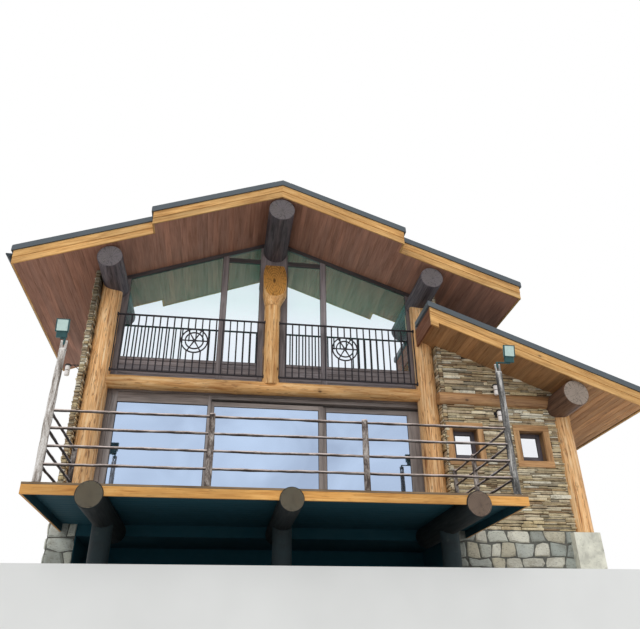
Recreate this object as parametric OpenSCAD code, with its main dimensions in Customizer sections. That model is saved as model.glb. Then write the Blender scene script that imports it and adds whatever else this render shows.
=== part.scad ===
// Alpine chalet with log posts, stone walls, a glazed gable front and a raised timber deck.
// Millimetres, +Z up. The front faces -Y. The plan is laid out from the middle of the glazed
// bay (x), the front edge of the deck (y) and the top of the deck (z), and place() then moves
// the whole building so that the origin is on the ground at the middle of its outline.

/* [Main walls] */
// Clear width of the glazed bay between its side walls
bay_w = 6240; // [5700:10:6800]
// Thickness of the stone-faced outer walls
wall_t = 450; // [350:10:550]
// Distance from the deck's front edge to the stone wall face
wall_y = 2600; // [2450:10:2900]
// Depth of the house from its stone front face to its rear face
house_d = 3650; // [3200:10:4600]
// Height of the deck above the ground
deck_h = 900; // [800:10:1600]
// Height of the upper floor's underside above the deck
storey_h = 2510; // [2460:10:2700]
// Thickness of the upper floor
floor_t = 210; // [150:5:260]

/* [Main roof] */
// Sideways offset of the ridge from the middle of the bay
ridge_x = 50; // [-100:10:150]
// Height of the boarded soffit at the ridge above the deck
ridge_z = 6294; // [6200:10:6700]
// Rise of the main roof for each unit of run
main_slope = 0.378; // [0.34:0.002:0.40]
// Distance from the ridge to each eave
eave_run = 4950; // [4700:10:5300]
// Distance from the ridge to the steps in the front verge
verge_step_run = 2492; // [2000:10:2900]
// Distance from the deck's front edge to the verge at the ridge
ridge_verge_y = 1425; // [1300:5:1500]
// How far the verge steps back toward the eaves
verge_step = 302; // [200:2:340]
// Overhang of the roofs past the rear wall
rear_overhang = 350; // [250:10:600]
// Thickness of the roof between soffit and covering, measured upright
roof_t = 262; // [200:2:320]
// Thickness of the metal covering with its edge flashing, measured upright
cover_t = 100; // [60:2:140]
// How far the covering's edge stands out past the fascia
cover_out = 40; // [20:2:60]

/* [Wing] */
// Width of the wing from the bay's right wall to its outer face
wing_w = 2500; // [2300:10:3000]
// Height of the wing's soffit above the deck at its high end
wing_z = 3808; // [3600:5:3900]
// Fall of the wing roof for each unit of run
wing_slope = 0.3966; // [0.36:0.002:0.42]
// Distance from the wing roof's high end to its eave
wing_run = 4140; // [4000:10:4600]
// Distance from the deck's front edge to the wing's verge
wing_verge_y = 1730; // [1600:5:1900]

/* [Boards] */
// Thickness of fascia boards
board_t = 32; // [20:1:50]
// How far a fascia hangs below the soffit
fascia_drop = 20; // [8:1:40]
// How far the upper fascia board stands out past the lower one
fascia_proud = 14; // [6:1:24]
// Height of the upper fascia board as a share of the roof thickness
upper_board_share = 0.56; // [0.4:0.02:0.7]

/* [Logs] */
// Distance from the stone wall face back to the axis of the bay's log posts
post_back = 270; // [240:5:290]
// How far the left post's axis stands out from the bay's left face
left_post_out = 146; // [120:2:170]
// How far the right post's axis stands out from the bay's right face
right_post_out = 65; // [40:5:90]
// Distance from the stone wall face back to the wing post's axis
wing_post_back = 50; // [0:5:100]
// Wing post: distance of its axis in from the wing's outer face
wing_post_in = 110; // [80:5:150]
// Diameter of the left post
left_post_d = 434; // [380:2:440]
// Diameter of the right post
right_post_d = 408; // [360:2:430]
// Diameter of the wing post
wing_post_d = 360; // [300:2:400]
// Diameter of the centre post
centre_post_d = 336; // [280:2:350]
// Diameter of the corbel log on the centre post
corbel_d = 500; // [420:2:520]
// Diameter of the lintel log over the lower glazing
lintel_d = 266; // [220:2:290]
// Height of the lintel log's axis above the upper floor's underside
lintel_rise = 136; // [100:2:160]
// Diameter of the beam log along the wing front
wing_beam_d = 260; // [220:2:300]
// Height of the wing beam's axis above the deck
wing_beam_z = 2500; // [2350:5:2560]
// Diameter of the ridge purlin
ridge_purlin_d = 520; // [460:2:560]
// Diameter of the left and right purlins
side_purlin_d = 470; // [420:2:500]
// Diameter of the wing purlin
wing_purlin_d = 510; // [440:2:540]
// Clear height between a purlin's crown and the soffit, filled by a bearing strip
strip_gap = 35; // [20:1:60]
// How far the purlin ends stop behind the verge
purlin_back = 45; // [20:5:120]

/* [Deck] */
// How far the deck runs out past the bay's left face
deck_left_out = 272; // [240:2:400]
// How far the deck runs out past the bay's right face
deck_right_out = 464; // [420:2:600]
// Thickness of the deck boards
deck_board_t = 30; // [24:1:45]
// Distance from the top of the deck to the lower edge of its edge boards
deck_edge_h = 160; // [120:2:200]
// Diameter of the deck logs
deck_log_d = 360; // [320:2:400]
// Distance of the outer deck logs' axes in from the deck's left and right ends
deck_log_in_left = 873; // [700:5:1000]
deck_log_in_right = 761; // [700:5:1000]
// Diameter of the columns under the deck logs
column_d = 300; // [240:5:340]
// Distance from the deck's front edge to the column axes
column_y = 1370; // [1000:10:1700]

/* [Railings] */
// Height of the deck railing's top rail axis
rail_h = 1030; // [900:10:1150]
// Number of rails in the deck railing
rail_n = 4; // [3:1:5]
// Diameter of the deck rails
rail_d = 42; // [34:1:50]
// Side of the square railing posts
rail_post = 80; // [60:2:90]
// Height of the corner lamp posts
lamp_post_h = 2110; // [1900:10:2300]
// Height of the balcony railing between its top and bottom rails
balcony_h = 1207; // [1000:10:1250]
// Spacing of the balcony bars
bar_pitch = 140; // [100:1:160]
// Width of the balcony bars
bar_w = 26; // [12:1:32]
// Outer radius of the round ornaments in the balcony railing
ornament_r = 270; // [200:5:300]

/* [Windows and doors] */
// Depth of the tall glazing frames
frame_d = 160; // [140:2:200]
// Distance from the stone wall face back to the tall glazing
glazing_in = 420; // [400:5:500]
// Visible width of the tall glazing's frame members
frame_w = 110; // [80:2:140]
// Thickness of the glass units
glass_t = 24; // [18:1:32]
// Width of the fixed left pane of the lower glazing
left_pane_w = 1702; // [1500:2:1850]
// Width of the sliding leaf
leaf_w = 2182; // [2000:2:2300]
// Height of the upper windows' sill above the upper floor
sill_h = 530; // [400:5:600]
// Width of a small window opening
win_w = 500; // [420:5:560]
// Height of a small window opening
win_h = 600; // [500:5:700]
// Height of a small window's sill above the deck
win_sill = 1290; // [1100:5:1350]
// Width of the wooden casing round a small window
casing_w = 120; // [80:2:140]

/* [Hidden] */
$fn = 96;

// Clearance between pieces that are scribed or fitted to one another
fit = 0.3;
// Overshoot of cutting shapes
cut = 5;

half_bay = bay_w / 2;
rear_y = wall_y + house_d;
rear_verge_y = rear_y + rear_overhang;
outer_verge_y = ridge_verge_y + verge_step;
glazing_y = wall_y + glazing_in;
inner_rear_y = rear_y - wall_t;
left_out_x = -half_bay - wall_t;
// The wall between bay and wing is thinner than the outer walls
bay_wall_share = 0.8;
right_wall_t = bay_wall_share * wall_t;
right_out_x = half_bay + right_wall_t;
wing_out_x = right_out_x + wing_w;
wing_in_x = wing_out_x - wall_t;
post_y = wall_y + post_back;
wing_post_y = wall_y + wing_post_back;
left_post_x = -half_bay - left_post_out;
right_post_x = half_bay + right_post_out;
wing_post_x = wing_out_x - wing_post_in;
// The wing roof's high end laps over the inner side of the right post
post_share = 0.38;
wing_roof_x = right_post_x - post_share * right_post_d;
wing_eave_x = wing_roof_x + wing_run;

upper_floor_z = storey_h + floor_t;
lintel_z = storey_h + lintel_rise;

// Gutter section
gutter_r = 64;
gutter_wall = 3;
gutter_w = 2 * gutter_r + gutter_wall;

left_end_x = ridge_x - eave_run - gutter_w;
right_end_x = max(wing_eave_x, ridge_x + eave_run) + gutter_w;
deck_log_proud = 20;
front_end_y = -deck_log_proud;
rear_end_y = rear_verge_y + cover_out;

// Heights of the soffits at a given x
function main_soffit(x) = ridge_z - main_slope * abs(x - ridge_x);
function wing_soffit(x) = wing_z - wing_slope * (x - wing_roof_x);

module place() {
    translate([-(left_end_x + right_end_x) / 2, -(front_end_y + rear_end_y) / 2, deck_h])
        children();
}

// Round logs along each axis
module log_x(y, z, d, x0, x1) {
    translate([x0, y, z]) rotate([0, 90, 0]) cylinder(h = x1 - x0, d = d);
}

module log_y(x, z, d, y0, y1) {
    translate([x, y0, z]) rotate([-90, 0, 0]) cylinder(h = y1 - y0, d = d);
}

module log_z(x, y, d, z0, z1) {
    translate([x, y, z0]) cylinder(h = z1 - z0, d = d);
}

module block(x0, x1, y0, y1, z0, z1) {
    translate([x0, y0, z0]) cube([x1 - x0, y1 - y0, z1 - z0]);
}

// Outline drawn in x and z, made solid from y0 to y1
module slab_y(y0, y1) {
    translate([0, y1, 0]) rotate([90, 0, 0]) linear_extrude(y1 - y0) children();
}

// Outline drawn in y and z, made solid from x0 to x1
module slab_x(x0, x1) {
    translate([x0, 0, 0]) rotate([90, 0, 90]) linear_extrude(x1 - x0) children();
}

// Band that follows the main roof between two heights above its soffit
module main_band(x0, x1, lo, hi) {
    mid = x0 < ridge_x && ridge_x < x1 ? [ridge_x] : [];
    xs = concat([x0], mid, [x1]);
    back = [for (i = [len(xs) - 1 : -1 : 0]) xs[i]];
    polygon(concat(
        [for (x = xs) [x, main_soffit(x) + lo]],
        [for (x = back) [x, main_soffit(x) + hi]]
    ));
}

module wing_band(x0, x1, lo, hi) {
    polygon([
        [x0, wing_soffit(x0) + lo], [x1, wing_soffit(x1) + lo],
        [x1, wing_soffit(x1) + hi], [x0, wing_soffit(x0) + hi]
    ]);
}

// Area under the main roof, from height z0 up to just below the soffit
module under_main(x0, x1, z0) {
    mid = x0 < ridge_x && ridge_x < x1 ? [ridge_x] : [];
    polygon(concat(
        [[x1, z0], [x0, z0]],
        [for (x = concat([x0], mid, [x1])) [x, main_soffit(x) - fit]]
    ));
}

module under_wing(x0, x1, z0) {
    polygon([[x1, z0], [x0, z0], [x0, wing_soffit(x0) - fit], [x1, wing_soffit(x1) - fit]]);
}

// Purlins
purlin_rise = 1 / cos(atan(main_slope));
ridge_purlin_z = ridge_z - strip_gap - ridge_purlin_d / 2 * purlin_rise;
left_purlin_in = 66;
right_purlin_in = 5;
wing_purlin_in = 50;
left_purlin_x = left_post_x + left_purlin_in;
right_purlin_x = right_post_x - right_purlin_in;
wing_purlin_x = wing_post_x - wing_purlin_in;
left_purlin_z = main_soffit(left_purlin_x) - strip_gap - side_purlin_d / 2 * purlin_rise;
right_purlin_z = main_soffit(right_purlin_x) - strip_gap - side_purlin_d / 2 * purlin_rise;
wing_purlin_z = wing_soffit(wing_purlin_x) - wing_purlin_d / 2 / cos(atan(wing_slope));

// Widened outline of each purlin, cut from what is scribed round it
module purlin_cuts() {
    y0 = ridge_verge_y;
    y1 = rear_verge_y;
    log_y(ridge_x, ridge_purlin_z, ridge_purlin_d + 2 * fit, y0, y1);
    log_y(left_purlin_x, left_purlin_z, side_purlin_d + 2 * fit, y0, y1);
    log_y(right_purlin_x, right_purlin_z, side_purlin_d + 2 * fit, y0, y1);
    log_y(wing_purlin_x, wing_purlin_z, wing_purlin_d + 2 * fit, y0, y1);
    block(wing_purlin_x, wing_purlin_x + wing_purlin_d, y0, y1, wing_purlin_z, wing_purlin_z + wing_purlin_d);
    for (p = [[ridge_x, ridge_purlin_z], [left_purlin_x, left_purlin_z], [right_purlin_x, right_purlin_z]])
        block(p[0] - strip_w / 2 - fit, p[0] + strip_w / 2 + fit, y0, y1, p[1], p[1] + ridge_purlin_d);
}

// A purlin carries a bearing strip that fills the gap up to the soffit
strip_w = 160;
module purlin(x, z, d, y0) {
    log_y(x, z, d, y0, rear_verge_y - board_t - purlin_back);
    slab_y(y0 + strip_w, rear_verge_y - board_t - purlin_back)
        under_main(x - strip_w / 2, x + strip_w / 2, z);
}

module ridge_purlin() {
    color("#6b5a4b") purlin(ridge_x, ridge_purlin_z, ridge_purlin_d, ridge_verge_y + purlin_back);
}

module side_purlins() {
    y0 = outer_verge_y + board_t + purlin_back;
    color("#6b5a4b") {
        purlin(left_purlin_x, left_purlin_z, side_purlin_d, y0);
        purlin(right_purlin_x, right_purlin_z, side_purlin_d, y0);
    }
}

module wing_purlin() {
    color("#6b5a4b")
        log_y(wing_purlin_x, wing_purlin_z - fit, wing_purlin_d,
              wing_verge_y + board_t + purlin_back, rear_verge_y - board_t - purlin_back);
}

// Posts
module post_cuts() {
    log_z(left_post_x, post_y, left_post_d + 2 * fit, -deck_h, ridge_z);
    log_z(right_post_x, post_y, right_post_d + 2 * fit, -deck_h, ridge_z);
    log_z(wing_post_x, wing_post_y, wing_post_d + 2 * fit, -deck_h, wing_purlin_z);
}

// The bay's posts stand in corners left open in the wall ends
left_slot_x = left_post_x - left_post_d / 2 - fit;
right_slot_x = right_post_x + right_post_d / 2 + fit;
module post_slots() {
    block(left_slot_x, -half_bay + cut, wall_y - cut, post_y, -cut, ridge_z);
    block(half_bay - cut, right_slot_x, wall_y - cut, post_y, -cut, ridge_z);
}

module log_posts() {
    color("#b98a52") difference() {
        union() {
            log_z(left_post_x, post_y, left_post_d, 0, left_purlin_z);
            log_z(right_post_x, post_y, right_post_d, 0, right_purlin_z);
            log_z(wing_post_x, wing_post_y, wing_post_d, -pad_drop, wing_purlin_z);
        }
        purlin_cuts();
    }
}

// Corbel on the centre post: a short upright log that swells from the post's head, sawn flat
// against the glazing and with its face sawn back below the ridge purlin
corbel_h = 1253;
corbel_z = ridge_purlin_z - ridge_purlin_d / 2 - corbel_h;
corbel_lip = 70;
corbel_swell = 330;
corbel_top_drop = 90;
centre_post_in = 40;
centre_post_x = ridge_x - centre_post_in;

// What reaches past the front of the tall glazing
module behind_glazing() {
    block(-half_bay, half_bay, glazing_y - fit, glazing_y + frame_d + corbel_d, storey_h, ridge_z);
}

module centre_post() {
    color("#c08a4a") difference() {
        log_z(centre_post_x, post_y, centre_post_d, lintel_z, corbel_z - fit);
        log_x(post_y, lintel_z, lintel_d + 2 * fit, left_post_x, right_post_x);
        behind_glazing();
    }
}

module corbel() {
    front = post_y - corbel_d / 2;
    back = glazing_y + cut;
    top_z = ridge_purlin_z - ridge_purlin_d / 2 - corbel_top_drop;
    color("#c08a4a") difference() {
        hull() {
            log_z(centre_post_x, post_y, centre_post_d, corbel_z, corbel_z + fit);
            log_z(ridge_x, post_y, corbel_d, corbel_z + corbel_swell, ridge_purlin_z);
        }
        slab_x(ridge_x - corbel_d, ridge_x + corbel_d) polygon([
            [front - cut, corbel_z + corbel_lip], [front, corbel_z + corbel_lip],
            [glazing_y, top_z], [back, top_z], [back, ridge_z], [front - cut, ridge_z]
        ]);
        behind_glazing();
        purlin_cuts();
    }
}

// Logs between the posts
module lintel_log() {
    color("#c98f45") difference() {
        log_x(post_y, lintel_z, lintel_d, left_post_x, right_post_x);
        post_cuts();
    }
}

wing_beam_in = 140;
wing_beam_x = right_post_x + wing_beam_in;
module wing_beam() {
    color("#b5793c") difference() {
        log_x(wall_y, wing_beam_z, wing_beam_d, wing_beam_x, wing_post_x);
        post_cuts();
        purlin_cuts();
    }
}

module wing_beam_cut() {
    log_x(wall_y, wing_beam_z, wing_beam_d + 2 * fit, wing_beam_x, wing_post_x);
}

// Stone base under the walls, open under the glazed bay behind the deck
under_bay_in = 1200;
module plinth() {
    color("#a8a49a") difference() {
        block(left_out_x, wing_out_x, wall_y, rear_y, -deck_h, 0);
        ground_floor_area(fit);
        block(-half_bay, half_bay, wall_y - cut, wall_y + under_bay_in, -deck_h - cut, -floor_t + cut);
        log_z(wing_post_x, wing_post_y, wing_post_d + 2 * fit, -pad_drop, cut);
    }
}

// Stone block under the wing post
pad_w = 510;
pad_drop = 45;
pad_shift = 60;
module post_pad() {
    x = wing_post_x - pad_shift;
    color("#b3aea4")
        block(x - pad_w / 2, x + pad_w / 2, wing_post_y - wing_post_d / 2 - pad_drop, wall_y - fit,
              -deck_h, -pad_drop);
}

module ground_floor_area(gap) {
    block(-half_bay - gap, half_bay + gap, wall_y - gap, inner_rear_y + gap, -floor_t - gap, gap);
    block(half_bay - cut, wing_in_x + gap, wall_y + wall_t - gap, inner_rear_y + gap, -floor_t - gap, gap);
}

module ground_floor() {
    color("#9c958a") ground_floor_area(0);
}

module upper_floor() {
    color("#9a7650") difference() {
        block(-half_bay, half_bay, glazing_y, inner_rear_y, storey_h, upper_floor_z);
        post_cuts();
    }
}

// Small windows: front ones in the wing, others repeated on the hidden sides
wing_win_in = [310, 380];
wing_win_x = [right_out_x + wing_win_in[0], wing_in_x - wing_win_in[1]];
rear_win_share = 0.27;
rear_win_x = [-rear_win_share * bay_w, rear_win_share * bay_w, (right_out_x + wing_in_x) / 2];
left_win_y = (glazing_y + inner_rear_y) / 2;
upper_win_sill_h = 420;
upper_win_sill = upper_floor_z + upper_win_sill_h;

module left_wall() {
    color("#c9bd9f") difference() {
        slab_y(wall_y, inner_rear_y) under_main(left_out_x, -half_bay, 0);
        post_slots();
        post_cuts();
        purlin_cuts();
        left_win_holes();
    }
}

module left_win_holes() {
    for (z = [win_sill, upper_win_sill])
        block(left_out_x - cut, -half_bay + cut, left_win_y - win_w / 2, left_win_y + win_w / 2, z, z + win_h);
}

// Wall between bay and wing: a front pier, and the wall over the wing roof above the upper floor
module right_wall() {
    color("#c9bd9f") difference() {
        slab_y(wall_y, inner_rear_y) under_main(half_bay, right_out_x, 0);
        block(half_bay - cut, right_out_x + cut, wall_y + wall_t, inner_rear_y + cut, -cut, storey_h);
        post_slots();
        post_cuts();
        purlin_cuts();
        wing_beam_cut();
    }
}

module rear_wall() {
    color("#c9bd9f") difference() {
        slab_y(inner_rear_y, rear_y) union() {
            under_main(left_out_x, right_out_x, 0);
            under_wing(right_out_x - cut, wing_out_x, 0);
        }
        purlin_cuts();
        rear_win_holes();
    }
}

module rear_win_holes() {
    for (x = rear_win_x)
        block(x - win_w / 2, x + win_w / 2, inner_rear_y - cut, rear_y + cut, win_sill, win_sill + win_h);
    for (i = [0, 1])
        block(rear_win_x[i] - win_w / 2, rear_win_x[i] + win_w / 2,
              inner_rear_y - cut, rear_y + cut, upper_win_sill, upper_win_sill + win_h);
}

module wing_front_wall() {
    color("#c9bd9f") difference() {
        slab_y(wall_y, wall_y + wall_t) under_wing(right_out_x, wing_in_x, 0);
        wing_beam_cut();
        for (x = wing_win_x)
            block(x - win_w / 2, x + win_w / 2, wall_y - cut, wall_y + wall_t + cut,
                  win_sill, win_sill + win_h);
    }
}

module wing_side_wall() {
    color("#c9bd9f") difference() {
        block(wing_in_x, wing_out_x, wall_y, inner_rear_y, 0, wing_purlin_z);
        post_cuts();
        purlin_cuts();
        wing_beam_cut();
    }
}

// Deck
deck_x0 = -half_bay - deck_left_out;
deck_x1 = half_bay + deck_right_out;
deck_log_pitch = (deck_x1 - deck_x0 - deck_log_in_left - deck_log_in_right) / 2;
deck_log_x = [for (i = [0 : 2]) deck_x0 + deck_log_in_left + i * deck_log_pitch];
deck_log_rise = 30;
deck_log_z = -deck_log_d / 2 + deck_log_rise;

module deck_columns() {
    color("#3a3c3a") difference() {
        for (x = deck_log_x) log_z(x, column_y, column_d, -deck_h, deck_log_z);
        for (x = deck_log_x) log_y(x, deck_log_z, deck_log_d + 2 * fit, 0, wall_y);
    }
}

// Each log is hewn flat under the boards and shows its whole round end at the front
module deck_logs() {
    color("#5d5348") difference() {
        for (x = deck_log_x) log_y(x, deck_log_z, deck_log_d, -deck_log_proud, wall_y - fit);
        block(deck_x0, deck_x1, board_t, wall_y + cut, -deck_board_t, deck_log_d);
    }
}

module deck_log_cuts() {
    for (x = deck_log_x) log_y(x, deck_log_z, deck_log_d + 2 * fit, -2 * deck_log_proud, wall_y);
}

// Boards lie on the logs and on the edge boards and stop at the stone front
module deck_boards() {
    color("#8d7355") difference() {
        block(deck_x0, deck_x1, 0, wall_y - fit, -deck_board_t + fit, 0);
        for (x = deck_log_x) log_y(x, deck_log_z, deck_log_d + 2 * fit, -2 * deck_log_proud, board_t);
    }
}

module deck_edge() {
    color("#d9a458") difference() {
        block(deck_x0, deck_x1, 0, wall_y - fit, -deck_edge_h, -deck_board_t);
        block(deck_x0 + board_t, deck_x1 - board_t, board_t, wall_y + cut, -deck_edge_h - cut, cut);
        deck_log_cuts();
    }
}

// Lower glazing: one fixed pane, a sliding leaf and a fixed sash behind the leaf's track
leaf_gap = 6;
track_left_in = 58;
track_right_in = 60;
leaf_in = 12;
track_space = 20;
sash_lap = 20;
right_stile = 252;
glass_in = 10;
side_jamb = 250;
sill_t = 40;
stile = 52;
meeting_stile = 90;
head_drop = 70;
sash_drop = 120;
sash_glass_drop = 210;
left_glass_drop = 195;
head_z = storey_h - head_drop;
sash_top = storey_h - sash_drop;
sash_glass_top = storey_h - sash_glass_drop;
sash_bottom = 50;
sash_glass_bottom = 150;
sash_t = 45;
pane_x0 = -half_bay + side_jamb;
pane_x1 = pane_x0 + left_pane_w;
track_x0 = pane_x1 + track_left_in;
track_x1 = half_bay - track_right_in;
leaf_x0 = track_x0 + leaf_gap;
leaf_x1 = leaf_x0 + leaf_w;
leaf_y = glazing_y + leaf_in;
sash_y = leaf_y + sash_t + track_space;
right_sash_x0 = leaf_x1 - sash_lap;
left_glass_top = storey_h - left_glass_drop;

module lower_frame() {
    color("#6f635b") difference() {
        block(-half_bay, half_bay, glazing_y, glazing_y + frame_d, 0, storey_h);
        block(pane_x0, pane_x1, glazing_y - cut, glazing_y + frame_d + cut, sash_glass_bottom, left_glass_top);
        block(track_x0, track_x1, glazing_y - cut, glazing_y + frame_d + cut, sill_t, head_z);
        post_cuts();
    }
}

module sash(x0, x1, y, left_w, right_w) {
    difference() {
        block(x0, x1, y, y + sash_t, sash_bottom, sash_top);
        block(x0 + left_w, x1 - right_w, y - cut, y + sash_t + cut, sash_glass_bottom, sash_glass_top);
    }
}

// Fixed sash: it stands on the sill and is held by the right jamb
module right_sash() {
    color("#6f635b") {
        sash(right_sash_x0, track_x1, sash_y, meeting_stile, right_stile);
        block(right_sash_x0, track_x1, sash_y, sash_y + sash_t, sill_t, sash_bottom);
    }
}

// The leaf runs on two carriages along the sill
carriage_l = 90;
carriage_in = 12;
handle_z = 1000;
handle_h = 260;
handle_w = 16;
handle_out = 32;
module sliding_leaf() {
    color("#6f635b") {
        sash(leaf_x0, leaf_x1, leaf_y, stile, meeting_stile);
        for (x = [leaf_x0 + carriage_l, leaf_x1 - 2 * carriage_l])
            block(x, x + carriage_l, leaf_y + carriage_in, leaf_y + sash_t - carriage_in,
                  sill_t + fit, sash_bottom);
        block(leaf_x0 + stile / 2 - handle_w / 2, leaf_x0 + stile / 2 + handle_w / 2,
              leaf_y - handle_out, leaf_y, handle_z, handle_z + handle_h);
    }
}

module leaf_glass() {
    color("#a9c4d6")
        block(leaf_x0 + stile, leaf_x1 - meeting_stile, leaf_y + glass_in, leaf_y + glass_in + glass_t,
              sash_glass_bottom, sash_glass_top);
}

module lower_glass() {
    color("#a9c4d6") {
        block(pane_x0, pane_x1, leaf_y + glass_in, leaf_y + glass_in + glass_t,
              sash_glass_bottom, left_glass_top);
        block(right_sash_x0 + meeting_stile, track_x1 - right_stile,
              sash_y + glass_in, sash_y + glass_in + glass_t, sash_glass_bottom, sash_glass_top);
    }
}

// Upper glazing: panes between the floor and the roof, each [left, right]
pane_z0 = upper_floor_z + sill_h;
transom_under = 644;
transom_z = ridge_z - transom_under;
transom_h = 110;
mid_left_out = 315;
mid_right_out = 280;
mid_l = ridge_x - mid_left_out;
mid_r = ridge_x + mid_right_out;
narrow_l = 690;
narrow_r = 725;
mullion_w = 120;
edge_w = 170;
wide_panes = [
    [-half_bay + edge_w, mid_l - narrow_l - mullion_w],
    [mid_r + narrow_r + mullion_w, half_bay - edge_w]
];
narrow_panes = [[mid_l - narrow_l, mid_l], [mid_r, mid_r + narrow_r]];

module pane_area(p, z0) {
    intersection() {
        translate([0, -frame_w]) under_main(p[0], p[1], z0 + frame_w);
        translate([p[0], z0]) square([p[1] - p[0], ridge_z]);
    }
}

module upper_panes() {
    for (p = wide_panes) pane_area(p, pane_z0);
    for (p = narrow_panes) difference() {
        pane_area(p, pane_z0);
        translate([p[0] - cut, transom_z]) square([p[1] - p[0] + 2 * cut, transom_h]);
    }
}

module upper_frame() {
    color("#6f635b") difference() {
        slab_y(glazing_y, glazing_y + frame_d / 2) difference() {
            under_main(-half_bay, half_bay, upper_floor_z);
            upper_panes();
        }
        post_cuts();
        purlin_cuts();
    }
}

upper_glass_in = 20;
module upper_glass() {
    y = glazing_y + upper_glass_in;
    color("#a9c4d6") difference() {
        slab_y(y, y + glass_t) upper_panes();
        purlin_cuts();
    }
}

// Small window frames, glass and casings, all set the same way in their openings
win_frame_w = 60;
win_frame_t = 70;
win_set = 140;
win_glass_in = 20;
casing_t = 30;

// One window's frame, drawn with its outer face toward -Y at the origin's y
module win_frame(z) {
    difference() {
        block(-win_w / 2, win_w / 2, win_set, win_set + win_frame_t, z, z + win_h);
        block(-win_w / 2 + win_frame_w, win_w / 2 - win_frame_w, win_set - cut,
              win_set + win_frame_t + cut, z + win_frame_w, z + win_h - win_frame_w);
    }
}

module win_pane(z) {
    y = win_set + win_glass_in;
    block(-win_w / 2 + win_frame_w, win_w / 2 - win_frame_w, y, y + glass_t,
          z + win_frame_w, z + win_h - win_frame_w);
}

module win_casing(z) {
    difference() {
        block(-win_w / 2 - casing_w, win_w / 2 + casing_w, -casing_t, 0, z - casing_w, z + win_h + casing_w);
        block(-win_w / 2, win_w / 2, -casing_t - cut, cut, z, z + win_h);
    }
}

// Puts a window, given as its sill height, in every small opening
module at_front() {
    for (x = wing_win_x) translate([x, wall_y, 0]) children();
}

module at_rear(first, last) {
    for (i = [first : last]) translate([rear_win_x[i], rear_y, 0]) rotate([0, 0, 180]) children();
}

module at_left() {
    translate([left_out_x, left_win_y, 0]) rotate([0, 0, -90]) children();
}

module window_frames() {
    color("#6f635b") {
        at_front() win_frame(win_sill);
        at_rear(0, 2) win_frame(win_sill);
        at_rear(0, 1) win_frame(upper_win_sill);
        at_left() win_frame(win_sill);
        at_left() win_frame(upper_win_sill);
    }
}

module window_glass() {
    color("#a9c4d6") {
        at_front() win_pane(win_sill);
        at_rear(0, 2) win_pane(win_sill);
        at_rear(0, 1) win_pane(upper_win_sill);
        at_left() win_pane(win_sill);
        at_left() win_pane(upper_win_sill);
    }
}

module window_casings() {
    color("#b57a45") {
        at_front() win_casing(win_sill);
        at_rear(0, 2) win_casing(win_sill);
        at_rear(0, 1) win_casing(upper_win_sill);
        at_left() win_casing(win_sill);
        at_left() win_casing(upper_win_sill);
    }
}

// Balcony railing: flat bars between the posts, right in front of the upper windows
balcony_front = 70;
balcony_y = post_y - balcony_front;
balcony_t = 20;
balcony_gap = 87;
balcony_z = lintel_z + lintel_d / 2 + balcony_gap;
balcony_rail_w = 30;
balcony_lap = 80;
ornament_rise = 0.583;
ornament_at = [0.525, 0.477];
ring_w = 24;
inner_ring = 0.7;

// Half width of a round post of diameter d where the railing's plane crosses it
function post_half(d) = sqrt(d * d / 4 - (post_y - balcony_y) * (post_y - balcony_y));

module ornament() {
    for (r = [ornament_r, inner_ring * ornament_r]) difference() {
        circle(r = r);
        circle(r = r - ring_w);
    }
    for (a = [0 : 60 : 300]) rotate(a) translate([0, -bar_w / 2]) square([ornament_r - ring_w / 2, bar_w]);
}

module balcony_panel(x0, x1, ox) {
    n = ceil((x1 - x0) / bar_pitch);
    step = (x1 - x0) / n;
    oz = balcony_z + ornament_rise * balcony_h;
    difference() {
        slab_y(balcony_y - balcony_t / 2, balcony_y + balcony_t / 2) {
            for (z = [0, balcony_h])
                translate([x0 - balcony_lap, balcony_z + z - balcony_rail_w / 2])
                    square([x1 - x0 + 2 * balcony_lap, balcony_rail_w]);
            difference() {
                for (i = [0 : n]) translate([x0 + i * step - bar_w / 2, balcony_z])
                    square([bar_w, balcony_h]);
                translate([ox, oz]) circle(r = ornament_r - ring_w / 2);
            }
            translate([ox, oz]) ornament();
        }
        post_cuts();
        log_z(centre_post_x, post_y, centre_post_d + 2 * fit, 0, ridge_z);
    }
}

module balcony_rails() {
    left_x = [left_post_x + post_half(left_post_d), centre_post_x - post_half(centre_post_d)];
    right_x = [centre_post_x + post_half(centre_post_d), right_post_x - post_half(right_post_d)];
    color("#2e2d2f") {
        balcony_panel(left_x[0], left_x[1], left_x[0] + ornament_at[0] * (left_x[1] - left_x[0]));
        balcony_panel(right_x[0], right_x[1], right_x[0] + ornament_at[1] * (right_x[1] - right_x[0]));
    }
}

// Deck railing with tall lamp posts at its front corners
rail_y = 120;
rail_left_in = 147;
rail_right_in = 102;
rail_x0 = deck_x0 + rail_left_in;
rail_x1 = deck_x1 - rail_right_in;
lamp_post = 90;
rail_low = 268;
rail_z = [for (i = [0 : rail_n - 1]) rail_low + i * (rail_h - rail_low) / (rail_n - 1)];
mid_post_x = [for (i = [1, 2]) rail_x0 + i * (rail_x1 - rail_x0) / 3];
left_end_in = 600;
right_mid_in = 1000;
left_end_y = wall_y - left_end_in;
right_mid_y = wall_y - right_mid_in;
right_end_rail_y = wall_y - rail_post / 2 - fit;
foot_t = 8;
foot_w = 130;

module rail_post(x, y, h) {
    block(x - rail_post / 2, x + rail_post / 2, y - rail_post / 2, y + rail_post / 2, 0, h);
    block(x - foot_w / 2, x + foot_w / 2, y - foot_w / 2, y + foot_w / 2, 0, foot_t);
}

module deck_front_rail() {
    color("#7c756c") {
        for (z = rail_z) log_x(rail_y, z, rail_d, rail_x0 + lamp_post / 2, rail_x1 - lamp_post / 2);
        for (x = mid_post_x) rail_post(x, rail_y, rail_h + rail_d);
    }
}

module side_rails(x, y1) {
    for (z = rail_z) log_y(x, z, rail_d, rail_y + lamp_post / 2, y1);
}

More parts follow.
